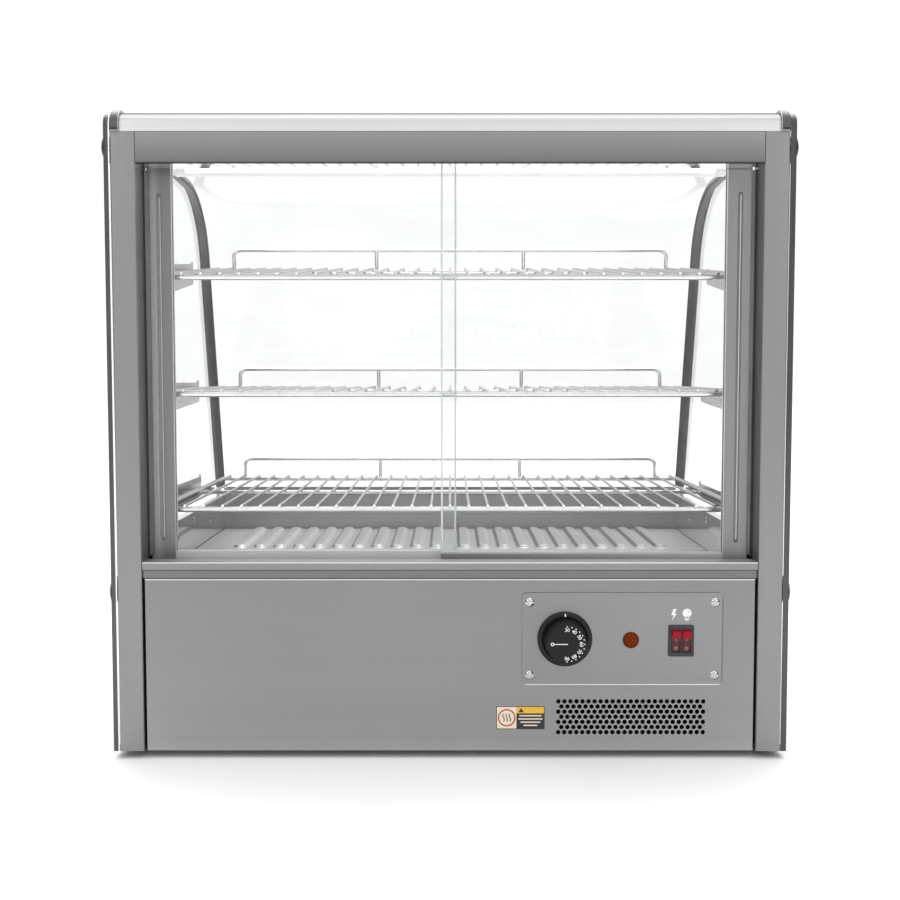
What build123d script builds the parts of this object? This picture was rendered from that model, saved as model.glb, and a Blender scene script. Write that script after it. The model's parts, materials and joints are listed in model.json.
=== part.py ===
from build123d import *
import os
from math import asin, atan, cos, radians, sin, tan

# Hot food display case: a heated base, a glass case with three wire shelves, sliding doors on the
# staff side and one curved glass on the customer side.
#
# Every function works in case coordinates, in mm: X to the right seen from the staff side,
# Y the depth behind the posts' staff face, Z the height above the case's bottom edge.
# save() moves each piece into the part's own frame, whose origin is the bottom centre of its box.

FOOT_H = 8.0
DEPTH_IN_FRONT = 20.0
DEPTH_BEHIND = 479.0
STAFF_FACE_Y = -(DEPTH_IN_FRONT + DEPTH_BEHIND) / 2 + DEPTH_IN_FRONT
SIDES = {"left": -1, "right": 1}

# Frame
POST = 25.0
POST_WALL = 1.5
OPENING_HALF = 309.0
POST_OUT = OPENING_HALF + POST
POST_TOP = 618.7
HEADER_BOTTOM = 587.7
HEADER_BACK_WALL = 2.0
HEADER_R = 1.5
TRACK_HALF = 311.0
TRACK_BOTTOM = 594.5
TRACK_BACK = 56.0

# Side glass, seen from the side: a top edge that falls gently and a front edge that leans back
SIDE_GLASS_T = 6.0
SIDE_GLASS_TOP = 641.0
SIDE_GLASS_FRONT = 456.0
CASE_FRONT = 458.0
TOP_FALL = tan(radians(3.5))
FRONT_LEAN = tan(radians(13.75))
GLASS_R = 114.0
SIDE_GLASS_CORNER_R = 16.0
GASKET_IN = 326.0
GASKET_INSETS = (1.0, 10.5)
CURVED_GLASS_INSETS = (3.2, 8.2)
CURVED_GLASS_HALF = 329.5
CURVED_GLASS_START = 190.0

# Strip that clamps the curved glass's top edge, and the channel under its bottom edge
CLAMP_Y = (188.0, 208.0)
CLAMP_BOTTOM = 612.5
CLAMP_WEB = 2.5
CLAMP_STEP = 2.0
LEDGE_Y = (443.0, 457.6)
LEDGE_SHEET = 1.5
LEDGE_LIP = 1.2
LEDGE_H = 10.0

# Dome-headed fixings of the side glasses, as (depth, height)
FIXING_SPOTS = ((12.5, 162.0), (12.5, 604.0), (400.0, 100.0))
FIXING_R = 14.5
FIXING_PROUD = 5.0
FIXING_STUD_R = 3.0

# Top cover
COVER_HALF = 324.5
COVER_END = 205.0
COVER_SHEET = 1.5
COVER_TOP = 639.6
COVER_NOSE_R = 13.0
CAP_HALF = 333.8
CAP_PROUD = 2.6
CAP_EDGE_R = 2.5
SOFFIT_SHEET = 1.2
SOFFIT_END = 187.5
SOFFIT_LIP = 12.0

# Doors
DOOR_T = 10.0
DOOR_GLASS_T = 4.0
HANDLE_W = 25.0
GLASS_GRIP = 8.0
FRONT_TRACK = 33.0
REAR_TRACK = 47.0
DOOR_BOTTOM = 187.2
DOOR_RAIL_TOP = 197.0
DOOR_TOP = 604.0
TOP_RAIL_H = 9.0
GROOVE_W = 5.6
GROOVE_DEEP = 5.8
GROOVE_BOTTOM = 208.0
GROOVE_TOP = 565.0
GROOVE_OFFSET = 1.0
PROFILE_R = 0.8
PANE_SET_IN = 4.0
# Outer edge and bare inner edge of each door, and its track
DOORS = {"left": (-310.8, 6.6, REAR_TRACK), "right": (305.6, -9.4, FRONT_TRACK)}

# Seals beside the doors
SEAL_X = (307.5, 312.0)

# Sill
SILL_LIP = 175.7
SILL_STEP = 183.8
SILL_TOP = 192.4
SILL_BACK_TOP = 193.5
SILL_END = 60.0
SILL_FACE = 1.0
SILL_LIP_FACE = 3.5
SILL_LIP_T = 2.0
SILL_DEEP = 20.0
SILL_BACK_W = 5.0
TRACK_FLOOR = 186.4
TRACK_RIB_TOP = 188.8
TRACK_CLEAR = 1.0

# Base
BASE_HALF = 333.8
BASE_SHEET = 1.5
BASE_BACK = 452.0
BASE_RIM = 205.8
PANEL_HALF = 306.5
PANEL_TOP = 175.3
PANEL_FACE = 2.0
PANEL_SHEET = 1.2
PANEL_FLANGE = 14.0

# Well and its ribbed floor
WELL_HALF = 324.0
WELL_BACK = 438.0
WELL_SHEET = 1.0
WELL_RIM = 206.8
WELL_FLOOR = 158.0
DECK_T = 1.5
RIB_FIRST = 18.0
RIB_PITCH = 25.1
RIBS_PER_SIDE = 11
RIB_W = 13.0
RIB_H = 3.6
RIB_START = 270.0
RIB_END = 428.0
WELL_SCREWS = ((184.0, 186.0), (261.0, 197.0), (347.0, 186.0))

# Shelf uprights and brackets
UPRIGHT_IN = 312.5
UPRIGHT_FACE = 46.0
UPRIGHT_START = 26.0
UPRIGHT_SHEET = 1.5
SLOT_PITCH = 24.36
SLOT_FIRST = 212.0
SLOT_COUNT = 15
SLOT_H = 13.0
WEB_X = 325.0
WEB_T = 2.0
WEB_ROOT = 30.0
FLANGE_IN = 304.0
SHELF_STEP = 5 * SLOT_PITCH
SHELF_LOW = 238.0
SHELF_TILT = 7.0
UPSTANDS = {"left": 10.0, "right": 1.0}

# Wire shelves: height of the frame wire, far edge, bracket end and tilt of each
SHELVES = {
    "bottom": (SHELF_LOW, 371.0, 305.0, 0.0),
    "middle": (SHELF_LOW + SHELF_STEP, 345.0, 300.0, 0.0),
    "top": (SHELF_LOW + 2 * SHELF_STEP, 316.0, 278.0, SHELF_TILT),
}
SHELF_START = 56.0
SHELF_HALF = 312.5
FRAME_WIRE = 6.0
MAT_WIRE = 3.0
MAT_PITCH = 20.0
MAT_WIRES_PER_SIDE = 15
WELD_DEPTH = 0.6
RAIL_WIRE = 4.5
RAIL_HALF = 279.5
RAIL_H = 27.0
RAIL_R = 9.0
RAIL_POST_X = 95.0
SHELF_GAP = 0.3

# Controls on the base panel, as (x, z)
PLATE_X = (72.6, 274.7)
PLATE_Z = (67.7, 161.5)
PLATE_T = 1.2
PLATE_R = 5.0
PLATE_SCREW_X = (80.2, 266.7)
PLATE_SCREW_Z = (77.5, 151.7)
PLATE_SCREW_HEAD_R = 4.5
PLATE_SCREW_R = 1.7
DIAL_AT = (115.5, 114.8)
BEZEL_R = 27.5
BEZEL_T = 4.0
DIAL_R = 21.0
DIAL_HUB_R = 6.0
DIAL_FACE = -DEPTH_IN_FRONT
SHAFT_R = 3.0
SHAFT_FIT = 0.06
INDICATOR_AT = (182.0, 113.6)
INDICATOR_R = 8.3
INDICATOR_STEM_R = 6.0
SWITCH_AT = (232.5, 113.0)
SWITCH_W = 25.6
SWITCH_H = 31.8
SWITCH_BODY_W = 21.8
SWITCH_BODY_H = 27.6
ROCKER_W = 8.3
ROCKER_H = 21.6
ROCKER_OFFSET = 5.4
ROCKER_TILT = 12.0
ROCKER_PIVOT = -0.6
TRUNNION_R = 1.2
VENT_ROWS = 7
VENT_COLUMNS = 25
VENT_PITCH = 6.1
VENT_ROW_PITCH = 5.28
VENT_R = 2.25
VENT_CORNER = (109.6, 18.8)

# Heater, lamp and wiring pieces
HEATER_R = 4.0
HEATER_Z = 138.0
HEATER_HALF = 250.0
HEATER_Y = (110.0, 390.0)
HEATER_BEND = 30.0
HANGER_SPOTS = (180.0, 320.0)
HANGER_HALF = 300.0
HANGER_W = 16.0
HANGER_SHEET = 1.5
THERMOSTAT_HALF = (18.0, 20.0)
THERMOSTAT_Y = (6.0, 34.0)
THERMOSTAT_NECK_R = 5.0
BULB_R = 4.0
BULB_X = (60.0, 150.0)
BULB_Y = 64.0
TERMINAL_X = (-60.0, 0.0)
TERMINAL_Y = (200.0, 222.0)
TERMINAL_H = 18.0
TERMINAL_POLES = 4
LAMP_R = 8.0
LAMP_HALF = 274.0
LAMP_AT = (110.0, 608.4)
LAMP_CAP_LONG = 8.0
LAMP_HOLDER_T = 13.8
GLAND_AT = (282.0, 40.0)
GLAND_BORE_R = 4.5
GLAND_THREAD_R = 8.0
GLAND_NUT_R = 12.0
FOOT_SPOTS = ((280.0, 60.0), (280.0, 400.0))
FOOT_R = 15.0
FOOT_STEM_R = 2.0
FOOT_STEM_LONG = 6.0

# Clearance for pieces that pass through a hole and don't turn in it
PASS = 0.2


def save(name, shape):
    """Write one node, moved into the part's frame."""
    export_step(Pos(0, STAFF_FACE_Y, FOOT_H) * shape, f"parts/{name}.step")


def block(x, y, z):
    """A box from three (low, high) pairs."""
    size = [high - low for low, high in (x, y, z)]
    middle = [(low + high) / 2 for low, high in (x, y, z)]
    return Pos(*middle) * Box(*size)


def facing_x(x):
    """The side-view plane at x, with local axes depth and height."""
    return Plane(origin=(x, 0, 0), x_dir=(0, 1, 0), z_dir=(1, 0, 0))


def facing_staff(y):
    """The front-view plane at depth y, with local axes X and height, facing the staff side."""
    return Plane(origin=(0, y, 0), x_dir=(1, 0, 0), z_dir=(0, -1, 0))


def across(sketch, x0, x1):
    """A side-view outline extruded from x0 to x1."""
    return extrude(facing_x(x0) * sketch, amount=x1 - x0, dir=(1, 0, 0))


def inward(sketch, y0, y1):
    """A front-view outline extruded from depth y0 to depth y1."""
    return extrude(facing_staff(y1) * sketch, amount=y1 - y0, dir=(0, -1, 0))


def side_rod(x0, x1, y, z, radius):
    """A round rod along X."""
    return across(Pos(y, z) * Circle(radius), min(x0, x1), max(x0, x1))


def bent_rod(points, bend, radius):
    """A round rod along straight runs joined by tangent arcs."""
    path = FilletPolyline(*points, radius=bend)
    section = Plane(origin=path @ 0, z_dir=path % 0) * Circle(radius)
    return sweep(section, path=path)


def dome(radius, height):
    """A low round head that stands on the XY plane."""
    ball_r = (radius ** 2 + height ** 2) / (2 * height)
    half_turn = asin(radius / ball_r) / 2
    middle = (ball_r * sin(half_turn), height - ball_r + ball_r * cos(half_turn))
    arc = ThreePointArc((0, height), middle, (radius, 0))
    outline = make_face([arc, Line((radius, 0), (0, 0)), Line((0, 0), (0, height))])
    return revolve(Plane.XZ * outline, axis=Axis.Z)


def both_sides(shape):
    """A piece and its mirror image."""
    return [shape, mirror(shape, about=Plane.YZ)]


# Glass case

def glass_line(inset, start_y, end_z):
    """Start, corner and end of the glass outline moved in by inset."""
    top = SIDE_GLASS_TOP - inset / cos(atan(TOP_FALL))
    front = SIDE_GLASS_FRONT - inset / cos(atan(FRONT_LEAN))
    corner_z = top - TOP_FALL * (front + FRONT_LEAN * WELL_RIM)
    corner_z = corner_z / (1 - TOP_FALL * FRONT_LEAN)
    corner_y = front - FRONT_LEAN * (corner_z - WELL_RIM)
    end_y = front - FRONT_LEAN * (end_z - WELL_RIM)
    return (start_y, top - TOP_FALL * start_y), (corner_y, corner_z), (end_y, end_z)


def glass_band(insets, start_y, end_z):
    """The side view of a layer of the curved glass."""
    outer = FilletPolyline(*glass_line(insets[0], start_y, end_z), radius=GLASS_R - insets[0])
    inner = FilletPolyline(*glass_line(insets[1], start_y, end_z), radius=GLASS_R - insets[1])
    return make_face([*outer.edges(), Line(outer @ 1, inner @ 1), *inner.edges(),
                      Line(inner @ 0, outer @ 0)])


def side_glass(side):
    start, corner, end = glass_line(0, 0, WELL_RIM)
    outline = Polygon((0, 0), start, corner, end, (CASE_FRONT, 0), align=None)
    spots = outline.vertices()
    outline = fillet([v for v in spots if abs(v.X - corner[0]) < 1 and abs(v.Y - corner[1]) < 1], GLASS_R)
    spots = outline.vertices()
    outline = fillet([v for v in spots if abs(v.X) < 1 and v.Y > POST_TOP], SIDE_GLASS_CORNER_R)
    for y, z in FIXING_SPOTS:
        outline -= Pos(y, z) * Circle(FIXING_STUD_R + PASS)
    x0, x1 = sorted((side * POST_OUT, side * (POST_OUT + SIDE_GLASS_T)))
    return across(outline, x0, x1)


def glass_fixings():
    """Dome-headed screws through the side glasses."""
    glass_out = POST_OUT + SIDE_GLASS_T
    stud_end = POST_OUT - 6
    pieces = []
    for y, z in FIXING_SPOTS:
        head = Pos(glass_out, y, z) * Rot(0, 90, 0) * dome(FIXING_R, FIXING_PROUD)
        pieces += both_sides(head + side_rod(glass_out, stud_end, y, z, FIXING_STUD_R))
    return pieces


def curved_glass():
    return across(glass_band(CURVED_GLASS_INSETS, CURVED_GLASS_START, WELL_RIM + 1.5),
                  -CURVED_GLASS_HALF, CURVED_GLASS_HALF)


def gasket(side, glass):
    """Edge strip with a channel for the curved glass."""
    x0, x1 = sorted((side * GASKET_IN, side * POST_OUT))
    return across(glass_band(GASKET_INSETS, COVER_END + 0.5, WELL_RIM + 11), x0, x1) - glass


def top_glass_clamp():
    """Angle strip along the glass's top edge."""
    near, far = CLAMP_Y
    low = glass_line(CURVED_GLASS_INSETS[1] + PASS, CURVED_GLASS_START, WELL_RIM)[0][1]
    step = CLAMP_BOTTOM + CLAMP_STEP
    outline = Polygon((near, CLAMP_BOTTOM), (near, low), (far, low - (far - near) * TOP_FALL), (far, step),
                      (near + CLAMP_WEB, step), (near + CLAMP_WEB, CLAMP_BOTTOM), align=None)
    return across(outline, -COVER_HALF, COVER_HALF)


def bottom_glass_ledge():
    """Channel that the curved glass stands in."""
    near, far = LEDGE_Y
    walls = (WELL_RIM, WELL_RIM + LEDGE_H)
    base = block((-GASKET_IN, GASKET_IN), LEDGE_Y, (WELL_RIM, WELL_RIM + LEDGE_SHEET))
    inner = block((-GASKET_IN, GASKET_IN), (near, near + LEDGE_SHEET), walls)
    outer = block((-GASKET_IN, GASKET_IN), (far - LEDGE_LIP, far), walls)
    return base + inner + outer


# Frame and top

def post(side):
    middle = side * (OPENING_HALF + POST / 2)
    section = RectangleRounded(POST, POST, 2.0) - RectangleRounded(POST - 2 * POST_WALL,
                                                                   POST - 2 * POST_WALL, 0.6)
    tube = extrude(Pos(middle, POST / 2) * section, amount=POST_TOP)
    for y, z in FIXING_SPOTS[:2]:
        tube -= side_rod(side * (POST_OUT + 1), side * (POST_OUT - POST_WALL - 1), y, z,
                         FIXING_STUD_R + PASS)
    return tube


def header():
    """Box beam with the two upper door tracks behind it."""
    beam = block((-TRACK_HALF, TRACK_HALF), (0, POST), (HEADER_BOTTOM, POST_TOP))
    beam += block((-TRACK_HALF, TRACK_HALF), (POST, TRACK_BACK), (TRACK_BOTTOM, POST_TOP))
    for side in SIDES.values():
        x = sorted((side * OPENING_HALF, side * (TRACK_HALF + 1)))
        beam -= block(x, (-1, POST + 0.3), (HEADER_BOTTOM - 1, POST_TOP + 1))
    beam = fillet(beam.edges().filter_by(Axis.X).group_by(Axis.Y)[0].group_by(Axis.Z)[0], HEADER_R)
    beam -= block((-TRACK_HALF - 1, TRACK_HALF + 1), (POST_WALL, POST - HEADER_BACK_WALL),
                  (HEADER_BOTTOM + POST_WALL, POST_TOP - POST_WALL))
    for track in (FRONT_TRACK, REAR_TRACK):
        room = (track - DOOR_T / 2 - TRACK_CLEAR, track + DOOR_T / 2 + TRACK_CLEAR)
        beam -= block((-TRACK_HALF - 1, TRACK_HALF + 1), room, (TRACK_BOTTOM - 1, DOOR_TOP + 2))
    return beam


def cover_outline(grow, end_y):
    """Side view of the top cover, grown by grow all round."""
    fall = TOP_FALL * end_y
    outline = Polygon((-grow, POST_TOP), (-grow, COVER_TOP + grow), (end_y, COVER_TOP + grow - fall),
                      (end_y, POST_TOP), align=None)
    return fillet(outline.vertices().group_by(Axis.Y)[-1], COVER_NOSE_R + grow)


def top_cover():
    """Bull-nosed folded sheet, open below and at its customer edge."""
    end = COVER_END
    inside = Polygon((COVER_SHEET, POST_TOP - 1), (COVER_SHEET, COVER_TOP - COVER_SHEET),
                     (end + 1, COVER_TOP - COVER_SHEET - TOP_FALL * (end + 1)), (end + 1,
                                                                                 POST_TOP - 1), align=None)
    inside = fillet(inside.vertices().group_by(Axis.Y)[-1], COVER_NOSE_R - COVER_SHEET)
    return across(cover_outline(0, end) - inside, -COVER_HALF, COVER_HALF)


def soffit():
    """Plate under the cover, behind the header, that carries the lamp."""
    start = TRACK_BACK + PASS
    plate = block((-COVER_HALF, COVER_HALF), (start, SOFFIT_END), (POST_TOP - SOFFIT_SHEET, POST_TOP))
    lip = block((-COVER_HALF, COVER_HALF), (start, start + SOFFIT_SHEET), (POST_TOP - SOFFIT_LIP, POST_TOP))
    return plate + lip


def end_cap(side):
    x0, x1 = sorted((side * COVER_HALF, side * CAP_HALF))
    cap = across(cover_outline(CAP_PROUD, COVER_END), x0, x1)
    outer_face = cap.faces().sort_by(Axis.X)[-1 if side > 0 else 0]
    cap = fillet(outer_face.edges().filter_by(lambda e: e.center().Z > POST_TOP + 2), CAP_EDGE_R)
    glass_top = glass_line(CURVED_GLASS_INSETS[0] - 0.4, CURVED_GLASS_START - 2, WELL_RIM)[0]
    return cap - block((x0 - 1, x1 + 1), (glass_top[0], COVER_END + 1), (POST_TOP - 1, glass_top[1]))


# Sill and doors

def sill():
    """Stepped sill with two door tracks."""
    low, step, top = SILL_LIP, SILL_STEP, SILL_TOP
    lip_back, back = SILL_LIP_FACE + SILL_LIP_T, SILL_END - SILL_BACK_W
    outline = Polygon((SILL_LIP_FACE, low), (SILL_LIP_FACE, step), (SILL_FACE, step), (SILL_FACE, top),
                      (SILL_DEEP, top), (SILL_DEEP, TRACK_RIB_TOP), (back, TRACK_RIB_TOP),
                      (back, SILL_BACK_TOP),
                      (SILL_END, SILL_BACK_TOP), (SILL_END, low), (SILL_END - SILL_LIP_T, low),
                      (SILL_END - SILL_LIP_T, step), (lip_back, step), (lip_back, low), align=None)
    rails = across(outline, -TRACK_HALF, TRACK_HALF)
    for track in (FRONT_TRACK, REAR_TRACK):
        room = (track - DOOR_T / 2 - TRACK_CLEAR, track + DOOR_T / 2 + TRACK_CLEAR)
        rails -= block((-TRACK_HALF - 1, TRACK_HALF + 1), room, (TRACK_FLOOR, SILL_TOP + 2))
    for side in SIDES.values():
        x = sorted((side * OPENING_HALF, side * (TRACK_HALF + 1)))
        rails -= block(x, (-1, POST + 0.3), (SILL_LIP - 1, SILL_BACK_TOP + 1))
    return rails


def door_glass(outer, inner, track):
    """Pane from the handle's grip to the bare inner edge."""
    away = 1 if outer > 0 else -1
    x = sorted((outer - away * (HANDLE_W - GLASS_GRIP), inner))
    return block(x, (track - DOOR_GLASS_T / 2, track + DOOR_GLASS_T / 2),
                 (DOOR_BOTTOM + PANE_SET_IN, DOOR_TOP - PANE_SET_IN))


def door_handle(outer, track, glass):
    """Upright profile with a long finger groove in its staff face."""
    away = 1 if outer > 0 else -1
    x = sorted((outer, outer - away * HANDLE_W))
    profile = block(x, (track - DOOR_T / 2, track + DOOR_T / 2), (DOOR_BOTTOM, DOOR_TOP))
    profile = fillet(profile.edges().filter_by(Axis.Z), PROFILE_R)
    long = GROOVE_TOP - GROOVE_BOTTOM
    middle = (sum(x) / 2 + away * GROOVE_OFFSET, (GROOVE_TOP + GROOVE_BOTTOM) / 2)
    groove = Pos(*middle) * Rot(0, 0, 90) * SlotOverall(long, GROOVE_W)
    profile -= inward(groove, track - DOOR_T / 2 - 1, track - DOOR_T / 2 + GROOVE_DEEP)
    return profile - glass


def door_rail(outer, inner, track, glass, z):
    """Bottom or top rail, from the handle profile to the inner edge."""
    away = 1 if outer > 0 else -1
    x = sorted((outer - away * (HANDLE_W + 0.1), inner))
    return block(x, (track - DOOR_T / 2, track + DOOR_T / 2), z) - glass


def door_seals():
    """Strips that close the gap between each post and its door."""
    strips = []
    for side, (_, _, track) in DOORS.items():
        x = sorted((SIDES[side] * SEAL_X[0], SIDES[side] * SEAL_X[1]))
        door_face = track - DOOR_T / 2
        strips.append(block(x, (POST + 0.3, door_face - 0.7), (SILL_BACK_TOP + 1, HEADER_BOTTOM - 1)))
    return strips


# Base

def base_shell():
    """Bottom, side walls and customer wall in one folded sheet, with a rim that carries the well."""
    start = POST + 0.2
    outer = block((-BASE_HALF, BASE_HALF), (start, BASE_BACK), (0, BASE_RIM))
    inner = block((-BASE_HALF + BASE_SHEET, BASE_HALF - BASE_SHEET), (start - 1, BASE_BACK - BASE_SHEET),
                  (BASE_SHEET, BASE_RIM - BASE_SHEET))
    mouth = block((-WELL_HALF - 1, WELL_HALF + 1), (start - 1, WELL_BACK + 1), (BASE_SHEET, BASE_RIM + 1))
    corner_room = block((-BASE_HALF - 1, BASE_HALF + 1), (start - 1, UPRIGHT_FACE + 1),
                        (BASE_RIM - 3, BASE_RIM + 1))
    shell = outer - inner - mouth - corner_room
    shell += block((-PANEL_HALF, PANEL_HALF), (PANEL_FACE + 2, start), (0, BASE_SHEET))
    for side in SIDES.values():
        y, z = FIXING_SPOTS[2]
        shell -= side_rod(side * (BASE_HALF + 1), side * (BASE_HALF - 3), y, z, FIXING_STUD_R + PASS)
        for x, foot_y in FOOT_SPOTS:
            shell -= Pos(side * x, foot_y, 0) * Cylinder(FOOT_STEM_R + PASS, 10)
    x, z = GLAND_AT
    shell -= Pos(x, BASE_BACK, z) * Rot(90, 0, 0) * Cylinder(GLAND_THREAD_R + PASS, 10)
    return shell


def panel_cutouts():
    """Openings shared by the base panel and the control plate, as a front-view sketch."""
    holes = [Pos(*DIAL_AT) * Circle(5.2), Pos(*INDICATOR_AT) * Circle(INDICATOR_STEM_R + PASS)]
    holes.append(Pos(*SWITCH_AT) * Rectangle(SWITCH_BODY_W + 0.4, SWITCH_BODY_H + 0.4))
    holes += [Pos(x, z) * Circle(PLATE_SCREW_R + PASS) for x in PLATE_SCREW_X for z in PLATE_SCREW_Z]
    return Sketch() + holes


def vent_holes():
    """Staggered round holes: the odd rows have one hole fewer."""
    x0, z0 = VENT_CORNER
    spots = []
    for row in range(VENT_ROWS):
        shift = VENT_PITCH / 2 * (row % 2)
        for column in range(VENT_COLUMNS - row % 2):
            spots.append(Pos(x0 + shift + column * VENT_PITCH, z0 + row * VENT_ROW_PITCH))
    return Sketch() + [spot * Circle(VENT_R) for spot in spots]


def base_panel():
    """Staff panel folded back along its sides and top."""
    face = PANEL_FACE + PANEL_SHEET
    outer = block((-PANEL_HALF, PANEL_HALF), (PANEL_FACE, PANEL_FACE + PANEL_FLANGE), (1.7, PANEL_TOP))
    inner = block((-PANEL_HALF + PANEL_SHEET, PANEL_HALF - PANEL_SHEET),
                  (face, PANEL_FACE + PANEL_FLANGE + 1),
                  (0, PANEL_TOP - PANEL_SHEET))
    skirt = block((-PANEL_HALF, PANEL_HALF), (PANEL_FACE, face), (0, 1.7))
    return outer - inner + skirt - inward(panel_cutouts() + vent_holes(), PANEL_FACE - 1, face + 1)


def control_plate():
    middle = (sum(PLATE_X) / 2, sum(PLATE_Z) / 2)
    outline = Pos(*middle) * RectangleRounded(PLATE_X[1] - PLATE_X[0], PLATE_Z[1] - PLATE_Z[0], PLATE_R)
    return inward(outline - panel_cutouts(), PANEL_FACE - PLATE_T, PANEL_FACE)


def pan_screw(head_r, head_t, shank_r, shank_long):
    """Cross-head screw along +Z, with the underside of its head at 0 and the shank below."""
    slot = Pos(0, 0, head_t) * (Box(head_r, 0.9, 1.6) + Box(0.9, head_r, 1.6))
    return dome(head_r, head_t) - slot + Pos(0, 0, -shank_long / 2) * Cylinder(shank_r, shank_long)


def control_plate_screws():
    screw = pan_screw(PLATE_SCREW_HEAD_R, 2.0, PLATE_SCREW_R, 8)
    face = PANEL_FACE - PLATE_T
    return [Pos(x, face, z) * Rot(90, 0, 0) * screw for x in PLATE_SCREW_X for z in PLATE_SCREW_Z]


def turned(points, at):
    """A solid of revolution about the axis through at, from (radius, depth) points."""
    outline = Polygon(*points, align=None)
    solid = revolve(Plane.XZ * outline, axis=Axis.Z)
    return Pos(at[0], 0, at[1]) * Rot(-90, 0, 0) * solid


# Controls

def thermostat_bezel():
    """Ring with a rounded outer edge and a well that the dial turns in."""
    back = PANEL_FACE - PLATE_T
    front = back - BEZEL_T
    ring = [(DIAL_HUB_R + 1, back), (BEZEL_R, back), (BEZEL_R, front + 1.4), (BEZEL_R - 1.2, front),
            (DIAL_R + 1.6, front), (DIAL_R + 0.6, front + 2.4), (DIAL_HUB_R + 1, front + 2.4)]
    return turned(ring, DIAL_AT)


def thermostat_dial():
    """Cup-shaped dial with a shallow taper, a hub and a shaft hole."""
    hub_back = PANEL_FACE - PLATE_T - 1.2
    back = hub_back - 1.2
    outline = [(SHAFT_R, hub_back), (DIAL_HUB_R, hub_back), (DIAL_HUB_R, back), (DIAL_R - 0.8, back),
               (DIAL_R, back - 0.8), (DIAL_R - 0.8, DIAL_FACE + 1.2), (DIAL_R - 2, DIAL_FACE),
               (0, DIAL_FACE),
               (0, DIAL_FACE + 4), (SHAFT_R, DIAL_FACE + 4)]
    return turned(outline, DIAL_AT)


def dial_shaft():
    return turned([(0, DIAL_FACE + 4), (SHAFT_R, DIAL_FACE + 4), (SHAFT_R, 22), (0, 22)], DIAL_AT)


def thermostat_body():
    """Housing behind the panel with the threaded neck that the shaft turns in."""
    x, z = DIAL_AT
    near, far = THERMOSTAT_Y
    half_w, half_h = THERMOSTAT_HALF
    neck = turned([(0, -PASS), (THERMOSTAT_NECK_R, -PASS), (THERMOSTAT_NECK_R, near), (0, near)], DIAL_AT)
    housing = block((x - half_w, x + half_w), (near, far), (z - half_h, z + half_h))
    housing = fillet(housing.edges().filter_by(Axis.Y), 2)
    bore = turned([(0, -1), (SHAFT_R + SHAFT_FIT, -1), (SHAFT_R + SHAFT_FIT, 22.5), (0, 22.5)], DIAL_AT)
    return neck + housing - bore


def capillary_tube():
    """Thin tube from the thermostat to the bulb clipped under the well."""
    x, z = DIAL_AT
    bulb_z = WELL_FLOOR - 7.5
    start, end = BULB_X
    tube = bent_rod([(x, THERMOSTAT_Y[1], z + 8), (x, BULB_Y, z + 8), (x, BULB_Y, bulb_z),
                     (x - start, BULB_Y, bulb_z)], 12, 1.0)
    bulb = side_rod(x - start, x - end, BULB_Y, bulb_z, BULB_R)
    return tube + bulb


def indicator_lens():
    """Domed lens with a stem through the plate."""
    face = PANEL_FACE - PLATE_T
    outline = [(0, face - 3.4), (3, face - 3.1), (6, face - 2.2), (7.6, face - 1.2),
               (INDICATOR_R, face - 0.5),
               (INDICATOR_R, face), (INDICATOR_STEM_R, face), (INDICATOR_STEM_R, 7), (0, 7)]
    return turned(outline, INDICATOR_AT)


def indicator_body():
    face = PANEL_FACE + PANEL_SHEET
    outline = [(INDICATOR_STEM_R + PASS, face), (9, face), (9, 7.5), (7, 8.5), (7, 30), (0, 30), (0, 7.2),
               (INDICATOR_STEM_R + PASS, 7.2)]
    return turned(outline, INDICATOR_AT)


def rocker_spot(side):
    return SWITCH_AT[0] + side * ROCKER_OFFSET, SWITCH_AT[1]


def switch_housing():
    """Bezel and body with a pocket and a pivot for each rocker."""
    x, z = SWITCH_AT
    face = PANEL_FACE - PLATE_T
    bezel = inward(Pos(x, z) * RectangleRounded(SWITCH_W, SWITCH_H, 1.5), face - 2, face)
    bezel = chamfer(bezel.faces().sort_by(Axis.Y)[0].edges(), 0.7)
    body = inward(Pos(x, z) * Rectangle(SWITCH_BODY_W, SWITCH_BODY_H), face - 0.5, 26)
    housing = bezel + body
    for side in SIDES.values():
        at = rocker_spot(side)
        housing -= inward(Pos(*at) * Rectangle(ROCKER_W + 0.7, ROCKER_H + 1.6), face - 3, 12)
        reach = ROCKER_W / 2 + 0.9
        housing -= side_rod(at[0] - reach, at[0] + reach, ROCKER_PIVOT + face, z, TRUNNION_R + 0.08)
    for blade in (-8, 0, 8):
        for side in SIDES.values():
            at = rocker_spot(side)
            housing += block((at[0] - 2.4, at[0] + 2.4), (26, 34), (z + blade - 0.4, z + blade + 0.4))
    return housing


def rocker(side):
    """Key with two sloping faces, shown with its lower end pressed in."""
    x, z = rocker_spot(side)
    pivot_y = ROCKER_PIVOT + PANEL_FACE - PLATE_T
    half = ROCKER_H / 2
    outline = Polygon((-2.6, -half), (-1.2, 0), (-2.6, half), (1.5, half), (4.5, half * 0.45),
                      (4.5, -half * 0.45),
                      (1.5, -half), align=None)
    key = across(outline, -ROCKER_W / 2, ROCKER_W / 2)
    key = chamfer(key.faces().sort_by(Axis.X)[0].edges() + key.faces().sort_by(Axis.X)[-1].edges(), 0.35)
    reach = ROCKER_W / 2 + 0.8
    key += side_rod(-reach, reach, 0, 0, TRUNNION_R)
    return Pos(x, pivot_y, z) * Rot(ROCKER_TILT, 0, 0) * key


# Heat and light

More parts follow.
